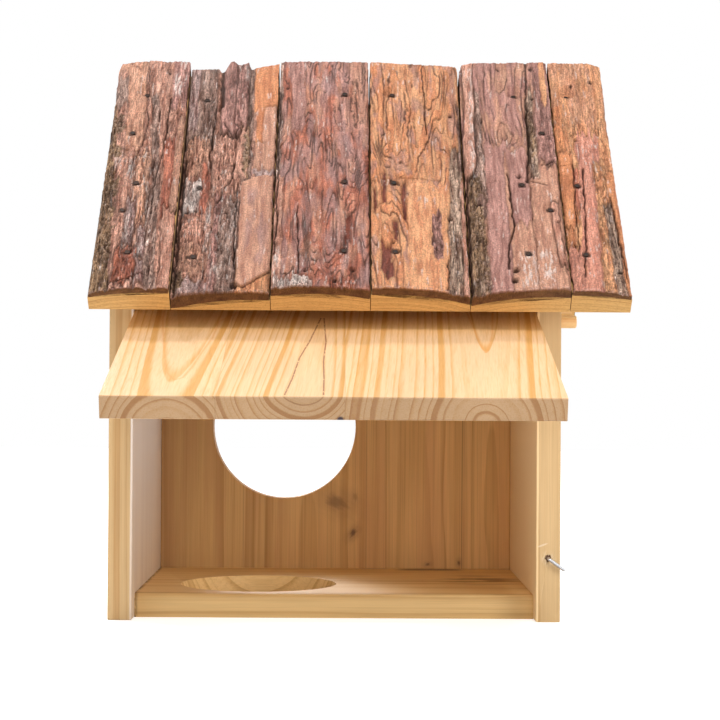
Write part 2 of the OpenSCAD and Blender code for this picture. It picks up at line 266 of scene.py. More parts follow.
shaken = add_node(tree, "VectorMath", {
    0: shiver.outputs["Color"], 1: (0.5, 0.5, 0.0), 2: moved.outputs[0]}, operation="MULTIPLY_ADD")
flat_place = add_node(tree, "VectorMath", {0: shaken.outputs[0], 1: (1.0, 1.0, 0.0)}, operation="MULTIPLY")
radius = add_node(tree, "VectorMath", {0: flat_place.outputs[0]}, operation="LENGTH").outputs["Value"]
year = math_node(tree, "DIVIDE", radius, given.outputs["Ring"])
season = add_node(tree, "TexNoise", {
    "W": times(tree, year, 0.55), "Scale": 1.0, "Detail": 1.0}, noise_dimensions="1D")
year = math_node(tree, "MULTIPLY_ADD", season.outputs["Fac"], 2.4, year)
part = math_node(tree, "FRACT", year)
year_number = math_node(tree, "FLOOR", year)
growth = add_node(tree, "TexWhiteNoise", {"W": year_number}, noise_dimensions="1D").outputs["Value"]
rising = ramp(tree, part, 0.25, 0.92)
rising = math_node(tree, "POWER", rising, 3.4)
falling = ramp(tree, part, 1.0, 0.95)
ring = times(tree, rising, falling)
ring = times(tree, ring, math_node(tree, "MULTIPLY_ADD", growth, 0.75, 0.25))
fibre = noise(tree, place, (1.5, 1.5, 0.022), 3.0, 0.6)
streak = noise(tree, place, (0.32, 0.32, 0.004), 2.0)
threads = noise(tree, place, (0.95, 0.95, 0.005), 2.0, 0.6)
cloud = noise(tree, place, (0.03, 0.03, 0.008), 2.0)
depth = times(tree, ring, given.outputs["Contrast"])
depth = math_node(tree, "MULTIPLY_ADD", ramp(tree, streak, 0.45, 0.75), 0.16, depth)
depth = math_node(tree, "MULTIPLY_ADD", ramp(tree, threads, 0.48, 0.72), 0.30, depth)
wood = blend(tree, depth, given.outputs["Early"], given.outputs["Late"])
wood = blend(tree, 1.0, wood, spread(tree, fibre, 0.3, 0.7, 0.93, 1.05), "MULTIPLY")
wood = blend(tree, 1.0, wood, spread(tree, cloud, 0.3, 0.7, 0.94, 1.05), "MULTIPLY")
tree.links.new(wood, result.inputs["Color"])
height = math_node(tree, "MULTIPLY_ADD", ring, -0.5, fibre)
tree.links.new(height, result.inputs["Height"])
tree.links.new(radius, result.inputs["Radius"])
tree.links.new(ring, result.inputs["Late"])


def board_place(tree, pith, turn=(0.0, 0.0, 0.0)):
    """Place in mm from a pith at a point in mm, with Z along the fibres after the turn in degrees."""
    coordinate = add_node(tree, "TexCoord")
    return add_node(tree, "Mapping", {
        "Vector": coordinate.outputs["Object"],
        "Location": Vector(pith) * MM,
        "Rotation": [math.radians(a) for a in turn],
        "Scale": (MM, MM, MM)}, vector_type="TEXTURE").outputs[0]


def grain(tree, place, ring=4.5, early=(0.85, 0.57, 0.29, 1.0), late=(0.62, 0.31, 0.10, 1.0), contrast=0.8):
    """The pine group in a material, at a place from board_place."""
    made = tree.nodes.new("ShaderNodeGroup")
    made.node_tree = pine_grain
    tree.links.new(place, made.inputs["Place"])
    made.inputs["Ring"].default_value = ring
    made.inputs["Early"].default_value = early
    made.inputs["Late"].default_value = late
    made.inputs["Contrast"].default_value = contrast
    return made


def planed(tree, shader, colour, height, roughness=PINE_ROUGHNESS, relief=0.00012):
    """Ends a wood material: colour, a bare satin surface and the relief of the fibres."""
    tree.links.new(colour, shader.inputs["Base Color"])
    bump = add_node(tree, "Bump", {"Height": height, "Distance": relief, "Strength": 1.0})
    tree.links.new(bump.outputs[0], shader.inputs["Normal"])
    dull = spread(tree, height, 0.2, 0.8, roughness + 0.08, roughness - 0.06)
    tree.links.new(dull, shader.inputs["Roughness"])
    shader.inputs["Specular IOR Level"].default_value = 0.35


def part_of(tree, place, axis):
    """One coordinate of a place, as a socket."""
    return add_node(tree, "SeparateXYZ", {0: place}).outputs[axis]


def eased_board(node, material, ease=BOARD_ARRIS, shortest=0.003):
    """A copy of a CAD board with its long arrises rounded as sandpaper leaves them; it replaces the node."""
    bm = bmesh.new()
    bm.from_mesh(frame["nodes"][node].data)
    bmesh.ops.remove_doubles(bm, verts=bm.verts, dist=1e-6)
    bmesh.ops.dissolve_limit(bm, angle_limit=math.radians(1.5), verts=bm.verts, edges=bm.edges)
    sharp = [e for e in bm.edges if len(e.link_faces) == 2 and e.calc_length() > shortest
             and e.calc_face_angle() > math.radians(40)]
    bmesh.ops.bevel(bm, geom=sharp, offset=ease, offset_type="OFFSET", affect="EDGES",
                    segments=2, profile=0.5, material=-1, clamp_overlap=True)
    mesh = bpy.data.meshes.new(node + "_planed")
    bm.to_mesh(mesh)
    bm.free()
    board = bpy.data.objects.new(node + "_planed", mesh)
    scene.collection.objects.link(board)
    mesh.shade_smooth()
    mesh.set_sharp_from_angle(angle=math.radians(25))
    mesh.materials.append(material)
    return board


HOOK_HOLE = Vector(frame["joints"][1]["pos_m"])


def side_pine(name, pith, ring, inner_light):
    """Pine of one side board, with painted light on its inner face, paler on one board and darker on the
    other.
    """
    material, tree, shader = new_material(name)
    place = board_place(tree, pith)
    wood = grain(tree, place, ring, (0.62, 0.425, 0.212, 1.0), (0.48, 0.27, 0.10, 1.0), 0.75)
    spot = add_node(tree, "TexCoord").outputs["Object"]
    inner = ramp(tree, math_node(tree, "ABSOLUTE", part_of(tree, spot, "X")), 0.1268, 0.1258)
    in_front = ramp(tree, part_of(tree, spot, "Y"), 0.0860, 0.0840)
    inner = times(tree, inner, in_front)
    # Painted light: a paler colour over the inner face, its share changing with height.
    light_share = spread(tree, part_of(tree, spot, "Z"), 0.02, 0.13, inner_light[1], inner_light[2])
    colour = blend(tree, times(tree, inner, light_share), wood.outputs["Color"], inner_light[0])
    ragged = noise(tree, place, (0.9, 0.9, 0.35), 3.0, 0.6)
    away = add_node(tree, "VectorMath", {0: spot, 1: HOOK_HOLE}, operation="DISTANCE").outputs["Value"]
    away = math_node(tree, "MULTIPLY_ADD", ragged, 0.004, math_node(tree, "SUBTRACT", away, 0.002))
    torn = times(tree, ramp(tree, away, 0.0062, 0.0030), ramp(tree, ragged, 0.42, 0.60))
    colour = blend(tree, times(tree, torn, 0.6), colour, (0.80, 0.64, 0.42, 1.0))
    colour = blend(tree, ramp(tree, away, 0.0024, 0.0016), colour, (0.10, 0.045, 0.02, 1.0))
    smear = stretched(tree, spot, HOOK_HOLE + Vector((-0.0035, 0.0, 0.0082)),
                      (0.0, math.radians(-20), 0.0), (0.0044, 1.0, 0.0008), (1.0, 0.0, 1.0))[1]
    at_front = math_node(tree, "LESS_THAN", part_of(tree, spot, "Y"), HOOK_HOLE.y + 0.002)
    smear = times(tree, ramp(tree, smear, 1.0, 0.4), at_front)
    colour = blend(tree, times(tree, smear, 0.45), colour, (0.88, 0.76, 0.58, 1.0))
    planed(tree, shader, colour, wood.outputs["Height"])
    return material


# Painted light on each side's inner face: its colour, and its share at the foot and higher up
LEFT_INNER_LIGHT = ((0.97, 0.90, 0.85, 1.0), 0.42, 1.0)
RIGHT_INNER_LIGHT = ((0.98, 0.72, 0.40, 1.0), 0.95, 0.95)
SIDES = (("left_side", (-190.0, -60.0, 0.0), 5.5, LEFT_INNER_LIGHT),
         ("right_side", (118.0, -142.0, 0.0), 5.0, RIGHT_INNER_LIGHT))
for node, pith, ring, inner_light in SIDES:
    board = eased_board(node, side_pine("pine_" + node, pith, ring, inner_light))
    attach(board, "house")
    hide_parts(node)


# Back panel
# Upright pine staves glued edge to edge, planed and screwed between the side boards.
# A round opening is sawn through it off the middle.

BACK_STAVES = (-66.0, 22.0, 90.4)
BACK_GLUE_LINE = 0.5
BACK_PITHS = ((-100.0, 150.0, 0.0), (-20.0, 40.0, 0.0), (58.0, 160.0, 0.0), (112.0, 60.0, 0.0))
BACK_RINGS = (3.6, 4.2, 3.2, 3.8)
BACK_EARLY = (0.80, 0.475, 0.175, 1.0)
BACK_LATE = (0.50, 0.25, 0.075, 1.0)
BACK_KNOTS = ((12.5, 40.2, 2.6, 0.8, 35), (1.0, 62.0, 6.5, 0.5, -60), (14.0, 66.0, 2.5, 0.25, 0),
              (66.0, 18.0, 1.3, 0.6, 80), (88.5, 19.0, 1.5, 0.7, 0))


def staves(tree, across, joints, places, rings, early, late, contrast):
    """Staves side by side: their joined colour, height and late wood, and the wood of each."""
    woods = [grain(tree, place, ring, early, late, contrast) for place, ring in zip(places, rings)]
    colour, height, dark = (woods[0].outputs[name] for name in ("Color", "Height", "Late"))
    for joint, wood in zip(joints, woods[1:]):
        beyond = math_node(tree, "GREATER_THAN", across, joint * MM)
        colour = blend(tree, beyond, colour, wood.outputs["Color"])
        height = add_node(tree, "Mix", {0: beyond, 2: height, 3: wood.outputs["Height"]}).outputs[0]
        dark = add_node(tree, "Mix", {0: beyond, 2: dark, 3: wood.outputs["Late"]}).outputs[0]
    return colour, height, dark, woods


def glue_line(tree, axis_value, joint, width, colour, stain, strength):
    """A thin dark line at a glued joint."""
    line = ramp(tree, apart(tree, axis_value, joint * MM), width * MM, 0.2 * width * MM)
    return blend(tree, times(tree, line, strength), colour, stain)


def knot(tree, x, z, size, strength, lean, colour, stain):
    """A small knot with a drawn-out halo, seen on a face in the XZ plane; lean is in degrees."""
    spot = add_node(tree, "TexCoord").outputs["Object"]
    place, away = stretched(tree, spot, (x * MM, 0.0, z * MM), (0.0, math.radians(lean), 0.0),
                            (size * MM, 1.0, 1.7 * size * MM), (1.0, 0.0, 1.0))
    ragged = noise(tree, place, (1.7, 0.0, 1.2), 3.0)
    away = math_node(tree, "MULTIPLY_ADD", ragged, 1.3, math_node(tree, "SUBTRACT", away, 0.65))
    halo = blend(tree, times(tree, ramp(tree, away, 2.6, 0.4), 0.5 * strength), colour, stain)
    ring = times(tree, ramp(tree, away, 1.0, 0.2), strength)
    return blend(tree, ring, halo, (0.12, 0.055, 0.022, 1.0))


back_material, tree, shader = new_material("pine_back")
across = part_of(tree, add_node(tree, "TexCoord").outputs["Object"], "X")
places = [board_place(tree, pith) for pith in BACK_PITHS]
colour, height = staves(tree, across, BACK_STAVES, places, BACK_RINGS, BACK_EARLY, BACK_LATE, 0.6)[:2]
warm = ramp(tree, noise(tree, board_place(tree, (0.0, 0.0, 0.0)), (0.05, 0.05, 0.003), 3.0, 0.6), 0.45, 0.62)
colour = blend(tree, times(tree, warm, 0.35), colour, (0.62, 0.28, 0.11, 1.0))
# Painted shade: the back panel is darker towards its left side.
shade = spread(tree, across, -0.12, 0.03, 0.70, 1.0)
colour = blend(tree, 1.0, colour, shade, "MULTIPLY")
for joint, strength in zip(BACK_STAVES, (0.3, 0.3, 0.5)):
    colour = glue_line(tree, across, joint, BACK_GLUE_LINE, colour, (0.16, 0.07, 0.025, 1.0), strength)
for x, z, size, strength, lean in BACK_KNOTS:
    colour = knot(tree, x, z, size, strength, lean, colour, (0.30, 0.14, 0.05, 1.0))
planed(tree, shader, colour, height)
board = eased_board("back_panel", back_material)
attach(board, "house")
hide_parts("back_panel")


# Floor board
# One pine board between the sides, with its front arris rounded over and a round opening sawn through it.
# The fibres run from side to side.

floor_material_pine, tree, shader = new_material("pine_floor")
place = board_place(tree, (0.0, -60.0, -34.0), (0.0, 90.0, 0.0))
wood = grain(tree, place, 5.2, (0.91, 0.63, 0.285, 1.0), (0.64, 0.37, 0.13, 1.0), 0.8)
spot = add_node(tree, "TexCoord").outputs["Object"]
# Painted shade in the joints: dark along the back edge, where the floor meets the back panel, and by the left
# side board; a split near the back is dark too.
crack_and_gap_shade = ramp(tree, part_of(tree, spot, "Y"), 0.0815, 0.0845)
crack_and_gap_shade = times(tree, crack_and_gap_shade, ramp(tree, noise(tree, place, (0.1, 0.1, 0.05), 2.0), 0.4, 0.7))
split = times(tree, ramp(tree, part_of(tree, spot, "X"), 0.040, 0.052),
                  ramp(tree, part_of(tree, spot, "X"), 0.094, 0.082))
split = times(tree, split, ramp(tree, part_of(tree, spot, "Y"), 0.064, 0.078))
crack_and_gap_shade = math_node(tree, "MAXIMUM", crack_and_gap_shade, times(tree, split, 0.75))
left_gap_shade = times(tree, ramp(tree, part_of(tree, spot, "X"), -0.1222, -0.1250),
                     ramp(tree, noise(tree, place, (0.06, 0.06, 0.3), 3.0, 0.6), 0.36, 0.52))
crack_and_gap_shade = math_node(tree, "MAXIMUM", crack_and_gap_shade, times(tree, left_gap_shade, 0.9))
colour = blend(tree, crack_and_gap_shade, wood.outputs["Color"], (0.18, 0.09, 0.035, 1.0))
swirl = stretched(tree, spot, (0.097, 0.007, 0.0), (0.0, 0.0, 0.12), (0.034, 0.042, 1.0), (1.0, 1.0, 0.0))[1]
streaks = ramp(tree, noise(tree, place, (0.10, 0.10, 0.022), 3.0, 0.6), 0.42, 0.58)
swirl = times(tree, ramp(tree, swirl, 1.0, 0.35), streaks)
colour = blend(tree, times(tree, swirl, 0.75), colour, (0.24, 0.12, 0.05, 1.0))
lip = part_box("floor_board")[0].y
at_lip = ramp(tree, part_of(tree, spot, "Y"), lip + 0.009, lip + 0.002)
colour = blend(tree, at_lip, colour, blend(tree, 1.0, colour, (0.84, 0.83, 0.82, 1.0), "MULTIPLY"))
planed(tree, shader, colour, wood.outputs["Height"])
board = eased_board("floor_board", floor_material_pine)
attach(board, "house")
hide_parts("floor_board")


# Flap
# Three pine staves glued edge to edge and planed, which swing on the dowels under the eave.
# The middle stave has a dark pitch line, and the end grain at the foot shows the rings of all three.

HINGE = Vector(frame["joints"][0]["pos_m"]) / MM
FLAP_OPEN = frame["joints"][0]["range_deg"][1]
FLAP_TURN = Matrix.Rotation(math.radians(-FLAP_OPEN), 3, "X")
FLAP_FOOT = -183.4
FLAP_JOINTS = (-62.9, 6.0)
# Each pith: its place at the foot (across, to the back, up), and its lean to back and right in degrees
FLAP_PITHS = (((-88.0, 16.6, FLAP_FOOT), 3.2, 0.4), ((-16.4, -14.7, FLAP_FOOT), 1.8, 2.8),
              ((81.8, 9.0, FLAP_FOOT), 2.2, 3.2))
FLAP_RINGS = (4.41, 3.6, 4.9)
FLAP_EARLY = (0.79, 0.518, 0.290, 1.0)
FLAP_LATE = (0.62, 0.315, 0.088, 1.0)
PITCH_RING = 13.4
# Lines of the grain on the flap's face, read as pixels of the photograph, from the hinge to the foot;
# the first point of each grain line lies under the eave and is a guess
GRAIN_LINES_PX = (((165, 310), (162.5, 318), (163.5, 338), (165, 358), (167.5, 373), (174, 380)),
                  ((241, 311), (219, 321.5), (212.5, 338), (202.5, 351.5), (192.5, 366.5), (183, 377.5),
                   (174, 380)),
                  ((466.5, 312), (476, 333), (479.5, 343), (486, 353)),
                  ((492.5, 312), (492.5, 333), (490, 344.5), (486, 353)))
PITCH_LINES_PX = (((321, 318), (309.5, 341.5), (299.5, 358), (292.5, 378), (284.5, 395)),
                  ((324, 318), (326, 341.5), (323.5, 361.5), (324, 378), (323.5, 395)))
FLAP_FACE = -6.5
CURVE_LENGTH = 200.0
CURVE_WIDTH = 240.0
END_GRAIN = (0.53, 0.51, 0.49, 1.0)


def finish_nodes(material, *nodes):
    """Gives CAD nodes a material in place of their plain one."""
    for node in nodes:
        frame["nodes"][node].data.materials.clear()
        frame["nodes"][node].data.materials.append(material)


def flap_place(tree, spot, back_lean=0.0, right_lean=0.0):
    """Place in mm from a spot on the flap as it hangs shut, with Z up its staves after the two leans."""
    to_right = Matrix.Rotation(math.radians(right_lean), 3, "Y")
    to_back = Matrix.Rotation(math.radians(back_lean), 3, "X")
    turn = (FLAP_TURN @ (to_right @ to_back)).to_euler("XYZ")
    return board_place(tree, HINGE + FLAP_TURN @ Vector(spot), [math.degrees(a) for a in turn])


def on_flap(px, py):
    """Where a pixel of the photograph lies on the flap's face: across and down from the hinge, in mm."""
    ray = FLAP_TURN.inverted() @ photo_ray(px, py)
    eye = FLAP_TURN.inverted() @ (CAMERA_AT / MM - HINGE)
    spot = eye + ray * ((FLAP_FACE - eye.y) / ray.y)
    return spot.x, -spot.z


def side_of(tree, place, pixels, width):
    """A line on the outer face of the flap through pixels of the photograph, as a mask."""
    points = [on_flap(*pixel) for pixel in pixels]
    down = times(tree, part_of(tree, place, "Z"), -1.0)
    curve = add_node(tree, "FloatCurve", {"Value": math_node(tree, "DIVIDE", down, CURVE_LENGTH)})
    line = curve.mapping.curves[0]
    spots = [(l / CURVE_LENGTH, 0.5 + x / CURVE_WIDTH) for x, l in points]
    for spot in spots[1:-1]:
        line.points.new(*spot)
    line.points[0].location = spots[0]
    line.points[-1].location = spots[-1]
    for point in line.points:
        point.handle_type = "VECTOR"
    curve.mapping.update()
    middle = times(tree, math_node(tree, "SUBTRACT", curve.outputs[0], 0.5), CURVE_WIDTH)
    off = apart(tree, part_of(tree, place, "X"), middle)
    below = math_node(tree, "GREATER_THAN", down, points[0][1])
    outer = math_node(tree, "LESS_THAN", part_of(tree, place, "Y"), -5.0)
    above = math_node(tree, "LESS_THAN", down, points[-1][1])
    line = times(tree, ramp(tree, off, width, 0.3 * width), times(tree, below, above))
    return times(tree, line, outer)


flap_material, tree, shader = new_material("pine_flap")
own = flap_place(tree, (0.0, 0.0, 0.0))
across = times(tree, part_of(tree, own, "X"), MM)
places = [flap_place(tree, *pith) for pith in FLAP_PITHS]
colour, height, late, woods = staves(
    tree, across, FLAP_JOINTS, places, FLAP_RINGS, FLAP_EARLY, FLAP_LATE, 0.95)
for joint in FLAP_JOINTS:
    colour = glue_line(tree, across, joint, 0.4, colour, (0.45, 0.26, 0.11, 1.0), 0.35)
off_ring = apart(tree, woods[1].outputs["Radius"], PITCH_RING)
at_end = ramp(tree, part_of(tree, own, "Z"), FLAP_FOOT + 0.9, FLAP_FOOT + 0.3)
broken = noise(tree, own, (0.6, 0.6, 0.22), 2.0)
pitch = times(tree, times(tree, ramp(tree, off_ring, 0.5, 0.15), at_end), 0.5)
for leg in PITCH_LINES_PX:
    line = times(tree, side_of(tree, own, leg, 0.66), ramp(tree, broken, 0.30, 0.46))
    pitch = math_node(tree, "MAXIMUM", pitch, line)
off_stave = apart(tree, across, sum(FLAP_JOINTS) / 2 * MM)
middle = math_node(tree, "LESS_THAN", off_stave, (FLAP_JOINTS[1] - FLAP_JOINTS[0]) / 2 * MM)
pitch = times(tree, pitch, middle)
colour = blend(tree, times(tree, pitch, 0.88), colour, (0.27, 0.105, 0.045, 1.0))
for leg in GRAIN_LINES_PX:
    soft = times(tree, side_of(tree, own, leg, 1.5), 0.28)
    fine_line = times(tree, side_of(tree, own, leg, 0.55), ramp(tree, broken, 0.25, 0.5))
    line = math_node(tree, "MULTIPLY_ADD", fine_line, 0.40, soft)
    colour = blend(tree, line, colour, (0.66, 0.30, 0.085, 1.0))
# Painted shadow of the eave: near the hinge the flap's top is darker and warmer.
eave_shadow_tint = blend(tree, 1.0, colour, (1.0, 0.93, 0.66, 1.0), "MULTIPLY")
colour = blend(tree, ramp(tree, part_of(tree, own, "Z"), -64.0, -34.0), colour, eave_shadow_tint)
foot_knot = add_node(tree, "VectorMath", {0: own, 1: (3.6, 6.2, FLAP_FOOT)}, operation="DISTANCE")
colour = blend(tree, ramp(tree, foot_knot.outputs["Value"], 2.4, 1.2), colour, (0.085, 0.05, 0.065, 1.0))
dark_ring = ramp(tree, late, 0.30, 0.80)
sawn = blend(tree, 1.0, colour, END_GRAIN, "MULTIPLY")
sawn = blend(tree, times(tree, dark_ring, 0.35), sawn, (0.24, 0.12, 0.08, 1.0))
colour = blend(tree, at_end, colour, sawn)
planed(tree, shader, colour, height)
finish_nodes(flap_material, "flap")


# Hinge dowels
# Turned beech pins, fixed in the side boards, on which the flap swings.
# The right one stands a little out of its board.

dowel_material, tree, shader = new_material("beech_dowel")
place = board_place(tree, (0.0, HINGE.y + 6.0, HINGE.z + 2.0), (0.0, 90.0, 0.0))
wood = grain(tree, place, 1.6, (0.98, 0.72, 0.36, 1.0), (0.86, 0.49, 0.20, 1.0), 0.6)
planed(tree, shader, wood.outputs["Color"], wood.outputs["Height"], 0.5)
finish_nodes(dowel_material, "hinge_dowel_left", "hinge_dowel_right")


# Steel of hook, screws and nails
# Bright drawn wire for the turn hook, yellow-passivated screws, and near black nails: darkened steel, with
# painted shade of the hollows they sit in.
# Each has draw lines or stains from handling, and the nails have rusted a little.


def steel(name, colour, stain, roughness, stained, speck):
    """Metal with a mottled finish: specks are the size of the marks in mm."""
    material, tree, shader = new_material(name)
    place = board_place(tree, (0.0, 0.0, 0.0))
    marks = noise(tree, place, (1 / speck, 1 / speck, 1 / speck), 4.0, 0.6)
    soiled = ramp(tree, marks, 1.0 - stained, 1.15 - stained)
    tree.links.new(blend(tree, soiled, colour, stain), shader.inputs["Base Color"])
    shader.inputs["Metallic"].default_value = 1.0
    tree.links.new(spread(tree, marks, 0.3, 0.7, roughness, roughness + 0.2), shader.inputs["Roughness"])
    bump = add_node(tree, "Bump", {"Height": marks, "Distance": 0.00004, "Strength": 1.0})
    tree.links.new(bump.outputs[0], shader.inputs["Normal"])
    return material


finish_nodes(steel("hook_wire", (0.56, 0.57, 0.60, 1.0), (0.20, 0.19, 0.18, 1.0), 0.24, 0.42, 0.9),
             "turn_hook")
finish_nodes(steel("screw_steel", (0.74, 0.62, 0.36, 1.0), (0.48, 0.38, 0.20, 1.0), 0.3, 0.45, 1.2),
             "left_screws", "right_screws")
# The nail heads are near black partly as painted shade of the hollows round them.
finish_nodes(steel("nail_steel", (0.045, 0.038, 0.035, 1.0), (0.11, 0.045, 0.025, 1.0), 0.5, 0.5, 0.8),
             "front_roof_nails", "rear_roof_nails")


# Roof battens
# Sawn pine strips that run from end to end under the roof and hold its slabs together.
# They lie in notches of the side boards and show below the eave and past the right side board.

BATTENS = ("front_eave_batten", "front_middle_batten", "rear_eave_batten", "rear_middle_batten",
           "ridge_batten")
batten_material, tree, shader = new_material("pine_battens")
place = board_place(tree, (0.0, 40.0, 120.0), (0.0, 90.0, 0.0))
wood = grain(tree, place, 4.0, (0.80, 0.52, 0.25, 1.0), (0.58, 0.31, 0.12, 1.0), 0.7)
planed(tree, shader, wood.outputs["Color"], wood.outputs["Height"], 0.62, 0.0002)
finish_nodes(batten_material, *BATTENS)


# Roof slabs
# Six slabs on each slope, sawn from the outside of big logs, so each is arched on top and flat below.
# The sawn ends at the eave show the year rings of the log they came from.

SLABS = range(1, 7)
LOG_RADIUS = 150.0
slab_corners = [v.co / MM for v in frame["nodes"]["front_slab_1"].data.vertices]
EAVE_Y, EAVE_Z = min(slab_corners, key=lambda corner: corner.z).yz
APEX_Z = min(corner.z for corner in slab_corners if corner.y > -0.01)
PITCH = math.atan2(APEX_Z - EAVE_Z, -EAVE_Y)
SLOPE = -EAVE_Y / math.cos(PITCH)


def slope_coordinates(mesh, side):
    """Vertices of a mesh as X, distance up the slope from the eave and height above its underside, in mm."""
    place = np.empty(len(mesh.vertices) * 3)
    mesh.vertices.foreach_get("co", place)
    x, y, z = (place.reshape(-1, 3) / MM).T
    y = y * side
    up = (y - EAVE_Y) * math.cos(PITCH) + (z - EAVE_Z) * math.sin(PITCH)
    out = (z - EAVE_Z) * math.cos(PITCH) - (y - EAVE_Y) * math.sin(PITCH)
    return x, up, out


def end_line(node, side, upper):
    """The line that a slab or bark node shows at its sawn eave end: X places and heights."""
    x, up, out = slope_coordinates(frame["nodes"][node].data, side)
    at_end = up < 0.05
    places = np.unique(np.round(x[at_end], 2))
    pick = np.max if upper else np.min
    return places, np.array([pick(out[at_end & (np.abs(x - p) < 0.02)]) for p in places])


def slab_pine(name, node, side, seed):
    """Wood of one slab: rings round the pith of its log, yellow at the sawn ends."""
    places, heights = end_line(node, side, True)
    crown = int(np.argmax(heights))
    pith_out = heights[crown] - LOG_RADIUS
    pith = (places[crown], side * (EAVE_Y - pith_out * math.sin(PITCH)), EAVE_Z + pith_out * math.cos(PITCH))
    material, tree, shader = new_material(name)
    place = board_place(tree, pith, (side * (math.degrees(PITCH) - 90.0), 0.0, 0.0))
    ring = 1.6 + 0.3 * (seed % 3)
    wood = grain(tree, place, ring, (0.66, 0.385, 0.132, 1.0), (0.32, 0.15, 0.040, 1.0), 0.9)
    saw = noise(tree, place, (0.5, 0.5, 0.05), 2.0)
    colour = blend(tree, times(tree, ramp(tree, saw, 0.45, 0.7), 0.25),
                   wood.outputs["Color"], (0.48, 0.27, 0.09, 1.0))
    spot = add_node(tree, "TexCoord").outputs["Object"]
    middle, half = (places[0] + places[-1]) / 2 * MM, (places[-1] - places[0]) / 2 * MM
    off_middle = apart(tree, part_of(tree, spot, "X"), middle)
    # Near black on the slab's side faces and at its ridge end: bark colour, and painted shade in the gaps
    # between slabs and in the ridge joint.
    at_side = ramp(tree, off_middle, half - 0.5 * MM, half - 0.1 * MM)
    at_ridge = ramp(tree, math_node(tree, "ABSOLUTE", part_of(tree, spot, "Y")), 1.2 * MM, 0.4 * MM)
    side_bark_and_shade = math_node(tree, "MAXIMUM", at_side, at_ridge)
    side_bark_and_shade = times(tree, side_bark_and_shade, ramp(tree, part_of(tree, place, "Z"), 0.3, 1.5))
    colour = blend(tree, times(tree, side_bark_and_shade, 0.92), colour, (0.075, 0.035, 0.020, 1.0))
    planed(tree, shader, colour, wood.outputs["Height"], 0.62, 0.0002)
    return material


for side, word in ((1, "front"), (-1, "rear")):
    for i in SLABS:
        node = f"{word}_slab_{i}"
        finish_nodes(slab_pine(f"slab_wood_{word}_{i}", node, side, i + 3 * (side < 0)), node)


# Bark
# The bark is still on the slabs, as on the log: plates and flakes a few millimetres thick, fibres, knots,
# furrows with moss, and red patches where an outer flake has broken away. It is cut off square at the eave.

SLOPE_LINE = SLOPE + 14.0
FRONT_STEP = 0.60
REAR_STEP = 0.85
BARK_WALLS = 4
NAIL_SINK = 2.0
NAIL_ROOM = 1.25
# The bark's upper edge along the ridge, read as pixels of the photograph, from left to right
RIDGE_EDGE_PX = ((120, 70), (123, 64.5), (137, 62.5), (150, 61.5), (191, 63), (192, 69), (219, 68.5),
                 (221, 72), (226, 72), (231, 63), (234, 62), (241, 66), (249, 63.5), (252, 69),
                 (255, 68.5), (278, 64), (281, 62), (342, 62.5), (380, 63), (406, 64.5), (455, 66.5),
                 (459, 72), (462, 63), (524, 63), (548, 63.5), (586, 63.5), (600, 67), (603, 73))
ridge_rays = [photo_ray(px, py) for px, py in RIDGE_EDGE_PX]
ridge_edge = [(CAMERA_AT - ray * (CAMERA_AT.y / ray.y)) / MM for ray in ridge_rays]
ridge_x = [spot.x for spot in ridge_edge]
ridge_dip = [max(spot.z for spot in ridge_edge) - spot.z for spot in ridge_edge]
RIDGE_OUT = (cad_box[1].z / MM - APEX_Z) * math.cos(PITCH) - 0.1

# Colours of the bark's layers: fresh and weathered
BARK_STAINS = {
    "pink": ((0.80, 0.425, 0.312), (0.47, 0.208, 0.142)),
    "red": ((0.62, 0.215, 0.132), (0.33, 0.100, 0.062)),
    "orange": ((0.76, 0.320, 0.150), (0.58, 0.215, 0.100)),
    "amber": ((0.88, 0.440, 0.230), (0.66, 0.270, 0.135)),
    "peach": ((0.80, 0.425, 0.285), (0.58, 0.270, 0.175)),
    "mauve": ((0.46, 0.275, 0.255), (0.30, 0.155, 0.140)),
    "tan": ((0.68, 0.360, 0.245), (0.48, 0.225, 0.152)),
    "purple": ((0.57, 0.295, 0.245), (0.35, 0.163, 0.133)),
    "grey": ((0.56, 0.360, 0.290), (0.25, 0.132, 0.098)),
    "rose": ((0.84, 0.375, 0.265), (0.62, 0.250, 0.175)),
    "moss": ((0.48, 0.290, 0.165), (0.165, 0.088, 0.054)),
    "lichen": ((0.66, 0.455, 0.340), (0.27, 0.150, 0.105)),
    # pale also colours the painted highlights
    "pale": ((0.90, 0.74, 0.670), (0.62, 0.400, 0.335)),
    "recess": ((0.26, 0.072, 0.045), (0.115, 0.027, 0.018)),
    "chip": ((0.66, 0.460, 0.420), (0.36, 0.185, 0.155)),
}


def lattice(ix, iy, seed):
    """A number from 0 to 1 that belongs to a lattice point."""
    mixed = (ix * 374761393 + iy * 668265263 + seed * 974634777) & 0xFFFFFFFF
    mixed = ((mixed ^ (mixed >> 13)) * 1274126177) & 0xFFFFFFFF
    return ((mixed ^ (mixed >> 16)) & 0xFFFF) / 65535.0


def drift(x, y, seed):
    """Smooth noise from -1 to 1."""
    ix, iy = np.floor(x).astype(np.int64), np.floor(y).astype(np.int64)
    fx, fy = x - ix, y - iy
    corners = []
    for dx, dy in ((0, 0), (1, 0), (0, 1), (1, 1)):
        angle = lattice(ix + dx, iy + dy, seed) * 2 * math.pi
        corners.append(np.cos(angle) * (fx - dx) + np.sin(angle) * (fy - dy))
    wx = fx * fx * fx * (fx * (fx * 6 - 15) + 10)
    wy = fy * fy * fy * (fy * (fy * 6 - 15) + 10)
    low = corners[0] + (corners[1] - corners[0]) * wx
    high = corners[2] + (corners[3] - corners[2]) * wx
    return (low + (high - low) * wy) * 1.5


def rough(x, y, seed, layers=3, fall=0.5):
    """Several layers of drift, each half the size of the last."""
    total, weight = 0.0, 1.0
    for k in range(layers):
        total = total + weight * drift(x * 2 ** k + 17.3 * k, y * 2 ** k - 9.1 * k, seed + 31 * k)
        weight *= fall
    return total


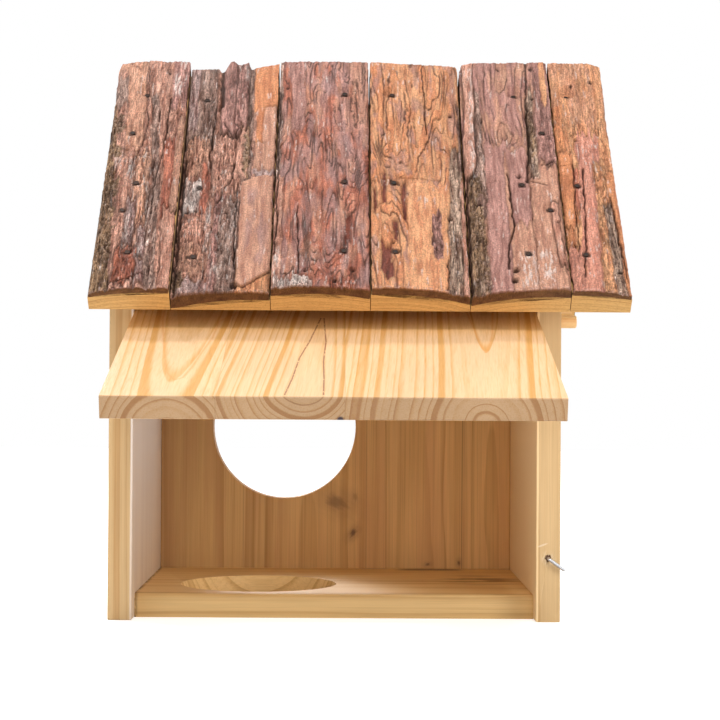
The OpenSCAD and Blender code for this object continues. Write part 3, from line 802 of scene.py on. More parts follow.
def eased(value, low, high):
    """Value taken smoothly to 0 at low and 1 at high."""
    t = np.clip((value - low) / (high - low), 0.0, 1.0)
    return t * t * (3 - 2 * t)


def over(base, mask, value):
    """Value laid over base by mask; both may be numbers, fields or colours."""
    if np.ndim(base) == 2:
        mask = mask[:, None]
    return base + (value - base) * mask


def stain(sheet, name, seed):
    """Colour of a named layer over a sheet, streaked along the fibres."""
    fresh, weathered = BARK_STAINS[name]
    streak = rough(sheet["wx"] / 2.4, sheet["s"] / 30, seed + 5, 3)
    blotch = rough(sheet["wx"] / 7, sheet["s"] / 16, seed + 8, 2)
    share = eased(streak + 0.6 * blotch, -0.55, 0.75)
    return np.outer(1 - share, fresh) + np.outer(share, weathered)


def cut_out(sheet, near):
    """The part of a sheet where near holds, as a sheet of its own."""
    return {key: field[near] if np.ndim(field) else field for key, field in sheet.items()}


def put_back(sheet, part, near):
    """Writes a part that was cut out back into its sheet."""
    for key, field in part.items():
        if np.ndim(field):
            sheet[key][near] = field


def plate(whole, name, eave, ridge, rows, lift, coarse=0.25, gap=0.5, wander=1.2, torn=7.0):
    """One plate, strip or patch of bark: its sides at eave and ridge, its ends, height and roughness."""
    near = ((whole["x"] > min(eave[0], ridge[0]) - 5) & (whole["x"] < max(eave[1], ridge[1]) + 5)
            & (whole["s"] > rows[0] - 3 - 2 * torn) & (whole["s"] < rows[1] + 3 + 2 * torn))
    sheet = cut_out(whole, near)
    s, x = sheet["s"], sheet["x"]
    seed = sheet["seed"] + int(7 * eave[0] + 13 * rows[0])
    t = s / SLOPE_LINE
    shifted = x + wander * rough(x / 30, s / 24, seed, 3) + 0.5 * drift(x / 2.6, s / 6, seed + 3)
    ends = s + torn * rough(x / 3.2, s / 50, seed + 6, 2)
    left = eave[0] + (ridge[0] - eave[0]) * t
    right = eave[1] + (ridge[1] - eave[1]) * t
    depth = np.minimum(np.minimum(shifted - left, right - shifted),
                       np.minimum(ends - rows[0], rows[1] - ends) * 0.35)
    mask = eased(depth, -0.3, 0.3)
    sheet["stain"] = over(sheet["stain"], mask, stain(sheet, name, seed))
    sheet["lift"] = over(sheet["lift"], mask, lift + 0.3 * drift(x / 9, s / 30, seed + 9))
    sheet["coarse"] = over(sheet["coarse"], mask, coarse)
    # Painted shade in the groove round the plate's edge, as strong as gap.
    edge = np.exp(-((depth + 0.30) / 0.55) ** 2) * gap
    sheet["dark"] = np.maximum(sheet["dark"] * (1 - mask), edge)
    sheet["lift"] = sheet["lift"] - 0.9 * edge
    put_back(whole, sheet, near)


def crack(whole, points, width, depth, seed=0, dark=1.0):
    """A crack along a few points of the slope, with its width and depth."""
    xs, rows = zip(*points)
    near = ((whole["x"] > min(xs) - width - 4) & (whole["x"] < max(xs) + width + 4)
            & (whole["s"] > min(rows) - 6) & (whole["s"] < max(rows) + 6))
    sheet = cut_out(whole, near)
    s = sheet["s"]
    x = sheet["x"] + 0.9 * rough(sheet["x"] / 8, s / 9, sheet["seed"] + seed + 2, 3)
    nearest = np.full(len(x), 1e3)
    for (ax, ay), (bx, by) in zip(points, points[1:]):
        length = (bx - ax) ** 2 + (by - ay) ** 2
        t = np.clip(((x - ax) * (bx - ax) + (s - ay) * (by - ay)) / length, 0, 1)
        nearest = np.minimum(nearest, np.hypot(x - ax - t * (bx - ax), s - ay - t * (by - ay)))
    half = 0.5 * width * (1 + 0.6 * drift(sheet["x"] / 3, s / 5, sheet["seed"] + seed + 4))
    profile = 1 - eased(nearest, 0.35 * half, 1.1 * half + 0.15)
    sheet["lift"] = sheet["lift"] - depth * profile
    # The crack is painted dark as shade.
    sheet["dark"] = np.maximum(sheet["dark"], dark * profile)
    put_back(whole, sheet, near)


def pit(whole, x, s, radius, depth):
    """A small hole in the bark, painted dark as shade."""
    near = (np.abs(whole["x"] - x) < 2 * radius + 1) & (np.abs(whole["s"] - s) < 2.5 * radius + 1)
    sheet = cut_out(whole, near)
    ragged = 0.5 * rough(sheet["x"] / 1.6, sheet["s"] / 1.6, 3, 2)
    away = np.hypot(sheet["x"] - x, (sheet["s"] - s) * 0.8) + ragged
    profile = 1 - eased(away, 0.55 * radius, 1.15 * radius)
    sheet["lift"] = sheet["lift"] - depth * profile
    sheet["dark"] = np.maximum(sheet["dark"], profile)
    put_back(whole, sheet, near)


def knot_mark(sheet, x, s, wide, long, name, loops=2.5, core=0.75):
    """A knot in the bark: the layers round it close into loops."""
    dx, ds = (sheet["x"] - x) / wide, (sheet["s"] - s) / long
    away = np.hypot(dx, ds) + 0.10 * rough(sheet["x"] / 4, sheet["s"] / 6, sheet["seed"] + 41, 2)
    mask = 1 - eased(away, 0.85, 1.05)
    sheet["stain"] = over(sheet["stain"], mask * core, stain(sheet, name, 77))
    sheet["lift"] = sheet["lift"] + 0.35 * mask
    hill = loops * np.exp(-(away ** 2) * 0.5)
    sheet["bend"] = sheet["bend"] + hill
    sheet["bend_x"] = sheet["bend_x"] - hill * dx / wide
    sheet["bend_s"] = sheet["bend_s"] - hill * ds / long


def glossy_painted_highlight(sheet, eave, ridge, rows, amount, seed=0):
    """Painted highlights: a pale colour on raised fibres where glints show, made glossier and a little raised
    there.
    """
    t = sheet["s"] / SLOPE_LINE
    left = eave[0] + (ridge[0] - eave[0]) * t
    right = eave[1] + (ridge[1] - eave[1]) * t
    near = np.minimum(np.minimum(sheet["x"] - left, right - sheet["x"]),
                      np.minimum(sheet["s"] - rows[0], rows[1] - sheet["s"]) * 0.25)
    glints = rough(sheet["wx"] / 1.5, sheet["s"] / 9, sheet["seed"] + 61 + seed, 3)
    mask = eased(near, -0.5, 1.2) * eased(glints, 0.62 - 0.6 * amount, 0.95 - 0.5 * amount)
    sheet["stain"] = over(sheet["stain"], mask * 0.8, stain(sheet, "pale", 91 + seed))
    sheet["gloss"] = np.maximum(sheet["gloss"], mask)
    sheet["lift"] = sheet["lift"] + 0.25 * mask


def layer_field(x, s, seed, middle, slant, relief):
    """A slow field whose whole numbers are the edges of thin bark layers."""
    field = slant * np.sqrt((x - middle) ** 2 + 9) / 10 + s / 38
    field = field + relief * rough(x / 11, s / 80, seed + 11, 2, 0.4)
    return field + 0.10 * rough(x / 2.4, s / 9, seed + 12, 2)


def swirls(sheet, amount, middle, slant, relief, names, top=230.0, low=0.0, width=0.36):
    """Thin peeled layers with contour lines as edges, bent round the knots, in two named colours."""
    x, s, seed = sheet["x"], sheet["s"], sheet["seed"]
    field = layer_field(x, s, seed, middle, slant, relief)
    across = (layer_field(x + 0.4, s, seed, middle, slant, relief) - field) / 0.4 + sheet["bend_x"]
    along = (layer_field(x, s + 0.8, seed, middle, slant, relief) - field) / 0.8 + sheet["bend_s"]
    field = field + sheet["bend"]
    level = np.floor(field).astype(np.int64)
    part = field - level
    own = lattice(level, level * 0, seed)
    steep = np.hypot(across, along) + 0.02
    off = np.minimum(part, 1 - part) / steep
    wide = width * (1 + 0.6 * drift(x / 4, s / 14, seed + 14))
    line = 1 - eased(off, 0.35 * wide, wide + 0.40)
    mask = amount * eased(s, low - 8, low + 8) * (1 - eased(s, top - 8, top + 8))
    share = eased(0.9 * rough(x / 10, s / 34, seed + 15, 3) + 0.9 * (own - 0.5), -0.30, 0.45)
    share = share[:, None]
    tone = stain(sheet, names[0], seed + 21) * (1 - share) + stain(sheet, names[1], seed + 22) * share
    tone = tone * (0.90 + 0.20 * own)[:, None]
    sheet["stain"] = over(sheet["stain"], mask, tone)
    sheet["lift"] = sheet["lift"] + mask * (0.5 * (own - 0.5) - 0.25 * line)
    streaky = eased(rough(x / 7, s / 30, seed + 16, 3), -0.5, 0.4)
    sheet["dark"] = np.maximum(sheet["dark"], mask * line * (0.30 + 0.60 * streaky))
    sheet["coarse"] = over(sheet["coarse"], mask, 0.13)


def peel(sheet, wide, long, level, rise, seed):
    """A thin layer that has come off in places: it lies where slow noise is over level."""
    field = rough(sheet["wx"] / wide, sheet["s"] / long, sheet["seed"] + seed, 4, 0.55)
    left_on = eased(field, level - 0.04, level + 0.04)
    edge = np.exp(-((field - level + 0.05) / 0.055) ** 2)
    strength = np.clip(sheet["coarse"] * 2.2, 0.15, 1.0)
    sheet["lift"] = sheet["lift"] + rise * strength * (left_on - 0.5)
    # Painted shade along the edge where the layer has come off.
    sheet["dark"] = np.maximum(sheet["dark"], 0.62 * strength * edge)
    tone = 1.0 + strength * 0.20 * (left_on - 0.5)
    sheet["stain"] = sheet["stain"] * tone[:, None]


def new_sheet(x, s, seed, name, coarse):
    """Fields of one slab's bark before its marks are laid on."""
    sheet = {"x": x, "s": s, "seed": seed * 101, "lift": np.zeros(len(x)), "dark": np.zeros(len(x)),
             "gloss": np.zeros(len(x)), "coarse": np.full(len(x), coarse),
             "bend": np.zeros(len(x)), "bend_x": np.zeros(len(x)), "bend_s": np.zeros(len(x)),
             "tuft": np.zeros(len(x))}
    sheet["wx"] = x + 1.5 * rough(x / 18, s / 45, seed * 7, 2)
    sheet["stain"] = stain(sheet, name, seed)
    sheet["lift"] = 0.5 * rough(sheet["wx"] / 9, s / 45, seed + 2, 3)
    return sheet


def bark_1(sheet):
    """Leftmost slab: long pink plates, a mossy left edge and a grey furrow."""
    plate(sheet, "pink", (-136, -98), (-150, -98), (-9, 240), 0.2, 0.3)
    plate(sheet, "moss", (-150, -135), (-150, -147), (-9, 190), -0.6, 0.9, 0.2)
    plate(sheet, "grey", (-146, -137), (-146, -138), (176, 203), -0.2, 0.4)
    plate(sheet, "peach", (-146, -122), (-148, -125), (208, 240), 0.2, 0.15)
    plate(sheet, "peach", (-131, -121), (-139, -127), (132, 214), 0.3, 0.2)
    plate(sheet, "pink", (-118, -110), (-127, -113), (146, 240), 0.5, 0.25)
    plate(sheet, "purple", (-107, -97), (-110, -98), (178, 224), 0.2, 0.3)
    plate(sheet, "red", (-108, -98), (-112, -102), (66, 142), 0.1, 0.2)
    plate(sheet, "tan", (-103, -98), (-104, -99), (72, 160), 0.5, 0.2)
    plate(sheet, "pink", (-106, -97), (-108, -100), (-9, 70), 0.7, 0.2, 0.8)
    plate(sheet, "peach", (-127, -118), (-129, -117), (60, 128), 0.9, 0.35, 0.8)
    plate(sheet, "pink", (-135, -128), (-141, -131), (70, 126), 0.5, 0.3)
    plate(sheet, "chip", (-130, -124), (-130, -124), (38, 84), 0.9, 0.5, 0.8)
    plate(sheet, "chip", (-121, -114), (-121, -115), (26, 55), 1.0, 0.4, 0.9)
    plate(sheet, "red", (-134, -120), (-134, -121), (6, 36), 0.4, 0.45, 0.9)
    plate(sheet, "chip", (-120, -112), (-121, -112), (4, 26), 0.8, 0.4, 0.8)
    plate(sheet, "grey", (-114, -107), (-126, -119), (-9, 95), -1.1, 0.6, 0.3)
    plate(sheet, "grey", (-110, -105), (-124, -119), (80, 186), -1.0, 0.6, 0.3)
    crack(sheet, ((-126, 214), (-123, 150), (-128, 120)), 0.9, 1.0)
    crack(sheet, ((-135, 6), (-123, 9), (-114, 13)), 1.3, 1.4)
    crack(sheet, ((-110, 183), (-111, 132), (-114, 104), (-115, 70)), 1.1, 1.5)
    for x, s, r in ((-126, 186, 1.6), (-112, 208, 1.2), (-134, 132, 1.1), (-108, 132, 0.9), (-128, 33, 1.2)):
        pit(sheet, x, s, r, 2.0)
    glossy_painted_highlight(sheet, (-144, -133), (-144, -133), (116, 131), 0.5)
    glossy_painted_highlight(sheet, (-108, -99), (-108, -99), (186, 211), 0.35)
    glossy_painted_highlight(sheet, (-130, -113), (-134, -113), (30, 128), 0.45)
    for x0, x1, s0, s1 in ((-133, -127, 104, 122), (-142, -137, 114, 126), (-131, -127, 36, 72),
                           (-122, -117, 26, 42), (-108.5, -103, 184, 208)):
        glossy_painted_highlight(sheet, (x0, x1), (x0, x1), (s0, s1), 1.5, 7)
    sheet["coarse"] = np.minimum(1.2, 1.5 * sheet["coarse"])
    moss_tufts(sheet, ((-142, 159, 5, 12), (-141, 132, 5, 9), (-141, 95, 6, 10), (-141, 50, 5, 34)))


def bark_2(sheet):
    """Second slab: grey ridges, a raised purple flake, an orange planed strip and a big tan flake."""
    plate(sheet, "pink", (-100, -38), (-100, -38), (-9, 240), 0.0, 0.4)
    plate(sheet, "grey", (-100, -78), (-100, -80), (142, 240), -1.3, 0.7, 0.5)
    plate(sheet, "chip", (-97, -90), (-98, -92), (160, 240), -1.0, 0.6, 0.5)
    plate(sheet, "tan", (-97, -80), (-97, -82), (112, 150), -0.6, 0.6)
    plate(sheet, "red", (-86, -80), (-86, -81), (72, 117), -0.2, 0.25)
    plate(sheet, "pale", (-96, -85), (-96, -86), (74, 105), 0.3, 0.8)
    plate(sheet, "pink", (-96, -76), (-97, -80), (-9, 70), -0.3, 0.6)
    plate(sheet, "tan", (-95, -80), (-95, -80), (18, 44), 0.1, 0.5)
    plate(sheet, "chip", (-95, -74), (-95, -78), (-9, 12), 0.2, 0.8)
    plate(sheet, "pink", (-78, -64), (-80, -66), (84, 150), 0.6, 0.35, 0.8)
    plate(sheet, "purple", (-76, -68), (-77, -68), (-9, 88), 0.2, 0.4)
    plate(sheet, "grey", (-72, -60), (-72, -60), (-9, 86), 0.0, 0.55)
    plate(sheet, "grey", (-60, -54), (-61, -55), (92, 240), -1.0, 0.6, 0.4)
    plate(sheet, "pink", (-65, -56), (-64, -57), (106, 156), 0.3, 0.25)
    plate(sheet, "orange", (-54, -38), (-55, -38), (173, 240), -0.3, 0.05, 0.4, 0.4, 0.6)
    plate(sheet, "orange", (-52, -46), (-53, -46), (139, 176), -0.3, 0.05, 0.1, 0.4, 0.6)
    plate(sheet, "tan", (-48, -38), (-48, -38), (110, 177), 0.1, 0.06, 0.4, 0.5, 0.6)
    plate(sheet, "tan", (-53, -46), (-53, -46), (110, 141), 0.0, 0.1, 0.4, 0.5, 0.8)
    plate(sheet, "chip", (-54, -38), (-54, -38), (107, 113), 0.1, 0.25, 0.4, 1.0, 3.0)
    plate(sheet, "amber", (-60, -38), (-60, -38), (-9, 30), -1.0, 0.2)
    slanted_flake(sheet, "tan", (-60, -38.5), (3.0, 107.0), 0.95, 0.8, 0.07)
    x, s = sheet["x"], sheet["s"]
    inside = eased(np.minimum(x + 58, -40 - x), 0, 4) * eased(np.minimum(s - 14, 98 - s), 0, 12)
    bruise = 0.60 * inside * eased(rough(x / 8, s / 34, 35, 3), -0.15, 0.40)
    sheet["stain"] = over(sheet["stain"], bruise, stain(sheet, "mauve", 6))
    plate(sheet, "purple", (-73, -62), (-77, -64), (149, 240), 1.6, 0.25, 1.0, 0.9)
    plate(sheet, "purple", (-64, -59), (-67, -59), (158, 240), 1.0, 0.3, 0.9, 0.9)
    crack(sheet, ((-77, 222), (-76, 176)), 3.4, 3.2)
    crack(sheet, ((-79, 180), (-81, 148), (-81, 118)), 1.4, 2.0)
    crack(sheet, ((-65, 120), (-66, 104), (-70, 96), (-74, 81)), 1.3, 1.6)
    crack(sheet, ((-74, 160), (-68, 147), (-61, 158)), 1.0, 1.2)
    crack(sheet, ((-96.5, 130), (-96.5, 0)), 2.6, 2.6)
    crack(sheet, ((-62, 100), (-62, 60), (-61, 20)), 1.4, 1.4)
    for x, s, r in ((-93, 75, 1.8), (-87, 75, 1.5), (-68, 71, 1.4), (-90, 33, 1.6), (-61, 5, 2.6),
                    (-93, 60, 1.3)):
        pit(sheet, x, s, r, 2.4)
    glossy_painted_highlight(sheet, (-97, -83), (-97, -83), (50, 108), 0.55)
    glossy_painted_highlight(sheet, (-88, -78), (-90, -78), (140, 214), 0.35, 3)
    glossy_painted_highlight(sheet, (-78, -60), (-82, -60), (6, 100), 0.5, 5)
    for x0, x1, s0, s1 in ((-81, -77.5, 34, 82), (-65.5, -62, 50, 82), (-75, -70, 12, 24),
                           (-62, -58, 200, 216)):
        glossy_painted_highlight(sheet, (x0, x1), (x0, x1), (s0, s1), 1.5, 7)
    sheet["coarse"] = np.minimum(1.2, 1.5 * sheet["coarse"])
    moss_tufts(sheet, ((-95, 12, 5, 12), (-58, 130, 3, 30)))


def bark_3(sheet):
    """Third slab: red and purple layers in V-shaped contours, knots and small holes."""
    knot_mark(sheet, 20, 172, 13, 42, "tan", 7.5, 0.6)
    knot_mark(sheet, -13, 180, 5, 18, "red", 3.0, 0.6)
    knot_mark(sheet, -2, 62, 9, 42, "red", 3.5, 0.3)
    swirls(sheet, 1.0, -8, -1.2, 3.6, ("red", "purple"), width=0.46)
    tint = 0.50 * eased(rough(sheet["x"] / 9, sheet["s"] / 40, 5, 3), -0.05, 0.45)
    sheet["stain"] = over(sheet["stain"], tint, stain(sheet, "peach", 4))
    mauve = 0.65 * eased(rough(sheet["x"] / 7, sheet["s"] / 30, 15, 3), 0.05, 0.50)
    sheet["stain"] = over(sheet["stain"], mauve, stain(sheet, "mauve", 6))
    top_right = 0.6 * eased(sheet["x"], 4, 12) * eased(sheet["s"], 140, 165)
    sheet["stain"] = over(sheet["stain"], top_right, stain(sheet, "tan", 9))
    plate(sheet, "purple", (-24, -17), (-31, -21), (150, 222), 0.1, 0.2, 0.4, 2.0)
    plate(sheet, "grey", (-39, -36), (-39.5, -36), (100, 240), -0.7, 0.5, 0.4)
    plate(sheet, "pink", (-39, -33), (-39, -34), (-9, 104), 0.2, 0.3, 0.5)
    plate(sheet, "recess", (5.5, 9), (5, 8), (40, 66), -1.0, 0.1, 0.6, 0.8)
    plate(sheet, "pale", (-37, -14), (-37, -14), (-9, 8), 0.2, 0.9, 0.6)
    plate(sheet, "red", (-3, 12), (-3, 12), (-9, 8), -0.4, 1.0, 0.6)
    crack(sheet, ((-9, 34), (-12, 20), (-26, 9)), 1.1, 0.8, dark=0.35)
    crack(sheet, ((-24, 75), (-23, 40), (-22, 12)), 1.0, 1.1)
    crack(sheet, ((-37.5, 190), (-37, 110), (-36.5, 30)), 1.2, 1.8)
    for x, s, r in ((5, 101, 1.7), (2, 116, 1.3), (5, 32, 1.7), (10, 16, 1.6), (-18, 14, 1.4),
                    (-33, 193, 1.3), (-36, 136, 1.4), (-1, 6, 2.0)):
        pit(sheet, x, s, r, 2.2)
    glossy_painted_highlight(sheet, (-38, -16), (-38, -16), (-4, 30), 0.4)
    glossy_painted_highlight(sheet, (-24, 14), (-24, 14), (0, 60), 0.12, 3)
    glossy_painted_highlight(sheet, (-38, -34), (-38, -34), (16, 36), 1.5, 7)


def bark_4(sheet):
    """Fourth slab: light orange, an oval knot, a saw line, dark red recesses and a grey furrow."""
    knot_mark(sheet, 40, 123, 8, 22, "amber", 2.6, 0.8)
    knot_mark(sheet, 31, 128, 3.0, 5, "tan", 1.6, 0.8)
    knot_mark(sheet, 38, 178, 14, 30, "amber", 4.2, 0.2)
    swirls(sheet, 1.0, 52, -1.0, 2.4, ("amber", "orange"))
    mauve = 0.5 * eased(rough(sheet["x"] / 8, sheet["s"] / 26, 25, 3), 0.12, 0.50)
    sheet["stain"] = over(sheet["stain"], mauve, stain(sheet, "mauve", 6))
    plate(sheet, "amber", (44, 69), (46, 77), (-9, 100), 0.1, 0.14, 0.1, 1.0, 5.0)
    plate(sheet, "amber", (22, 28), (22, 28), (74, 96), 0.4, 0.2, 0.5)
    for x0, x1, s0, s1 in ((29, 31, 76, 106), (41, 43, 64, 99), (23, 24.5, 72, 90), (35.5, 38, 42, 64)):
        plate(sheet, "recess", (x0, x1), (x0, x1), (s0, s1), -0.9, 0.1, 0.5, 0.7)
    for x0, x1, s0, s1 in ((27, 33, 16, 40), (31, 35, 8, 24)):
        plate(sheet, "recess", (x0, x1), (x0 + 3, x1 + 3), (s0, s1), -1.0, 0.1, 0.5, 1.2)
    plate(sheet, "purple", (58, 64), (61, 66), (30, 70), 0.0, 0.5, 0.1, 2.0)
    plate(sheet, "lichen", (67, 76), (76, 83), (-9, 140), -0.9, 0.9, 0.4)
    plate(sheet, "grey", (76, 81), (79, 83), (120, 178), -0.8, 0.9, 0.4)
    plate(sheet, "pink", (76, 81), (80, 84), (-9, 110), 0.3, 0.3)
    crack(sheet, ((21, 102), (40, 102.5), (64, 103.5)), 0.7, 0.7, dark=0.45)
    crack(sheet, ((56, 221), (58, 149)), 1.0, 1.2)
    crack(sheet, ((68, 30), (67, 2)), 1.2, 1.4)
    for x, s, r in ((34, 101, 1.2), (39, 97, 1.2), (35, 41, 1.2), (74, 172, 1.6), (70, 68, 1.8)):
        pit(sheet, x, s, r, 2.0)
    glossy_painted_highlight(sheet, (22, 40), (22, 40), (196, 222), 0.3)
    glossy_painted_highlight(sheet, (70, 78), (74, 80), (6, 60), 0.35, 4)


def bark_5(sheet):
    """Fifth slab: smooth purple plates, a diamond knot under arches, a mossy strip and a long fissure."""
    knot_mark(sheet, 110, 146, 7, 11, "mauve", 3.0, 0.7)
    swirls(sheet, 1.0, 108, -2.0, 1.6, ("tan", "purple"), low=135)
    plate(sheet, "purple", (92, 107), (96, 110), (-9, 140), 0.3, 0.12, 0.4)
    plate(sheet, "tan", (106, 122), (108, 122), (-9, 134), 0.1, 0.12, 0.5)
    plate(sheet, "purple", (107, 121), (110, 121), (60, 132), 0.2, 0.1, 0.4)
    plate(sheet, "tan", (121, 138), (122, 140), (-9, 116), 0.4, 0.12, 0.6)
    plate(sheet, "purple", (126, 142), (130, 144), (118, 240), 0.3, 0.35, 0.7)
    plate(sheet, "amber", (131, 136), (134, 138), (176, 240), 0.5, 0.2, 0.4)
    plate(sheet, "lichen", (120, 126), (124, 129), (104, 190), -1.0, 0.7, 0.5)
    plate(sheet, "moss", (81, 92), (85, 92), (-9, 124), -0.8, 1.1, 0.4)
    plate(sheet, "grey", (88, 94), (88, 94), (70, 190), -0.3, 0.6, 0.4)
    plate(sheet, "lichen", (86, 93), (86, 93), (4, 30), -0.3, 0.9)
    plate(sheet, "pink", (80, 87), (83, 90), (112, 240), 1.1, 0.25, 0.9)
    plate(sheet, "pink", (134, 138), (134, 138), (22, 76), 0.8, 0.2, 0.8)
    crack(sheet, ((126, 230), (124, 180), (123, 140), (120, 101)), 2.2, 2.4)
    crack(sheet, ((108, 110), (109, 79), (109, 54), (105, 40), (104, 19)), 1.3, 1.8)
    crack(sheet, ((121, 88), (122, 38)), 0.6, 0.6, dark=0.5)
    crack(sheet, ((119, 102), (131, 96)), 1.4, 1.0)
    crack(sheet, ((130, 116), (138, 121)), 1.8, 1.2)
    crack(sheet, ((82.5, 110), (82, 60), (81.5, 0)), 1.8, 2.4)
    for x, s, r in ((115, 106, 1.7), (108, 18, 2.2), (107, 9, 2.2), (129, 214, 1.8), (128, 185, 1.6),
                    (89, 82, 2.4), (136, 60, 1.2), (107, 212, 1.2)):
        pit(sheet, x, s, r, 2.2)
    glossy_painted_highlight(sheet, (83.5, 87), (86.5, 90), (104, 212), 1.4)
    glossy_painted_highlight(sheet, (111, 121), (111, 121), (2, 36), 1.25, 2)
    glossy_painted_highlight(sheet, (122.5, 132), (122.5, 134), (2, 36), 1.1, 2)
    moss_tufts(sheet, ((88, 100, 5, 14), (87, 60, 5, 30), (87, 20, 6, 12), (125, 150, 3, 30)))


def bark_6(sheet):
    """Rightmost slab: orange fibres, red strips between long cracks and a lichen furrow near the edge."""
    plate(sheet, "amber", (138, 178), (143, 184), (150, 240), 0.1, 0.45, 0.2)
    swirls(sheet, 0.6, 160, 0.8, 1.6, ("amber", "peach"), low=160)
    plate(sheet, "orange", (137, 143), (141, 148), (60, 176), 0.3, 0.3, 0.3)
    plate(sheet, "red", (142, 152), (145, 153), (76, 118), 0.0, 0.2, 0.5)
    plate(sheet, "orange", (137, 146), (137, 146), (34, 78), 0.3, 0.3)
    plate(sheet, "rose", (137, 150), (137, 150), (-9, 38), 0.2, 0.3, 0.5)
    plate(sheet, "rose", (149, 163), (156, 172), (-9, 152), 0.2, 0.2, 0.3, 2.0, 20.0)
    plate(sheet, "rose", (151, 158), (157, 166), (-9, 128), 0.3, 0.15, 0.4, 1.6, 20.0)
    plate(sheet, "orange", (138, 148), (142, 151), (60, 130), 0.2, 0.12, 0.6)
    plate(sheet, "amber", (160, 170), (166, 176), (-9, 120), 0.2, 0.4)
    plate(sheet, "orange", (172, 180), (168, 174), (-9, 116), 0.2, 0.15, 0.5)
    plate(sheet, "lichen", (168, 174), (164, 169), (-9, 84), -0.7, 0.8, 0.4)
    crack(sheet, ((156, 116), (153, 54), (149, 12)), 1.2, 1.6)
    crack(sheet, ((150, 120), (148, 70), (147, 30)), 0.9, 1.2)
    crack(sheet, ((171, 90), (174, 40), (175, 6)), 1.0, 1.2)
    crack(sheet, ((140, 117), (154, 118)), 0.7, 0.6, dark=0.5)
    for x, s, r in ((155, 195, 1.3), (168, 198, 1.3), (154, 144, 1.5), (146, 41, 1.4), (171, 20, 1.6)):
        pit(sheet, x, s, r, 2.0)
    glossy_painted_highlight(sheet, (150, 172), (150, 172), (0, 170), 0.1)


def moss_tufts(sheet, tufts):
    """Crumbly tufts of moss and lichen: place, half width and half length of each."""
    crumbs = rough(sheet["x"] / 1.5, sheet["s"] / 1.9, sheet["seed"] + 71, 3, 0.65)
    for x, s, wide, long in tufts:
        away = np.hypot((sheet["x"] - x) / wide, (sheet["s"] - s) / long)
        away = away + 0.5 * rough(sheet["x"] / 4, sheet["s"] / 5, sheet["seed"] + 73, 2)
        mask = 1 - eased(away, 0.55, 1.0)
        colour = over(stain(sheet, "moss", 9), eased(crumbs, 0.1, 0.7), stain(sheet, "lichen", 12))
        sheet["stain"] = over(sheet["stain"], mask, colour)
        sheet["lift"] = sheet["lift"] + mask * (0.9 * crumbs + 0.2)
        # The low crumbs are painted dark as shade between the high ones.
        sheet["dark"] = np.maximum(sheet["dark"], mask * eased(crumbs, -0.25, -0.75))
        sheet["tuft"] = np.maximum(sheet["tuft"], mask)


def slanted_flake(sheet, name, sides, rows, slant, lift, coarse):
    """A big smooth flake with a rounded left side, a slanted lower edge and a shadow under that edge."""
    x, s, seed = sheet["x"], sheet["s"], sheet["seed"] + 55
    wave = 0.7 * rough(x / 9, s / 14, seed, 3)
    low = rows[0] + slant * np.maximum(0.0, x - sides[0] - 4) + 2.2 * eased(x, sides[0] + 6, sides[0])
    high = rows[1] - 0.55 * np.maximum(0.0, sides[1] - 9 - x)
    depth = np.minimum(np.minimum(x - sides[0] + wave, sides[1] - x),
                       np.minimum(s - low + wave, high - s + wave))
    mask = eased(depth, -0.3, 0.3)
    sheet["stain"] = over(sheet["stain"], mask, stain(sheet, name, seed))
    sheet["lift"] = over(sheet["lift"], mask, lift)
    sheet["coarse"] = over(sheet["coarse"], mask, coarse)
    shadow = np.exp(-((depth + 0.6) / 0.55) ** 2) * eased(high - s, 10, 30)
    sheet["dark"] = np.maximum(sheet["dark"] * (1 - mask), shadow)


def rear_bark(sheet):
    """Bark of the rear slope: plates of the same kinds, laid out slab by slab."""
    x, s, seed = sheet["x"], sheet["s"], sheet["seed"]
    left, width = x.min(), x.max() - x.min()
    pick = [float(lattice(np.int64(k), np.int64(seed), 5)) for k in range(60)]
    names = ("pink", "red", "amber", "purple", "tan", "grey")
    if pick[0] > 0.45:
        knot_mark(sheet, left + width * (0.3 + 0.4 * pick[1]), 60 + 120 * pick[2], 6, 10, "purple")
        swirls(sheet, 1.0, left + width * pick[3], 3 * pick[4] - 1.5, 2.2, ("red", "amber"))
    for k in range(9):
        a, b, c, d = (pick[4 + k * 4 + j] for j in range(4))
        x0 = left + width * (a * 0.85 - 0.05)
        x1 = x0 + width * (0.14 + 0.26 * b)
        s0 = 230 * c - 30
        s1 = s0 + 50 + 120 * d
        lean = width * 0.1 * (b - 0.5)
        name = names[(k + int(6 * pick[0])) % 6]
        plate(sheet, name, (x0 - lean, x1 - lean), (x0 + lean, x1 + lean), (s0, s1), 1.6 * d - 0.7,
              0.2 + 0.4 * a, 0.7, 1.4)
    for k in range(3):
        a, b, c = pick[40 + 3 * k:43 + 3 * k]
        at = left + width * (0.12 + 0.76 * a)
        crack(sheet, ((at, 200 * b), (at + 6 * (c - 0.5), 200 * b + 30 + 50 * c)), 1.2, 1.6, seed=k)
    moss_tufts(sheet, ((left + 3, 30 + 60 * pick[50], 4, 22), (left + width * 0.7, 150 * pick[51], 3, 16)))
    glossy_painted_highlight(sheet, (left, left + width), (left, left + width), (0, 230), 0.08)


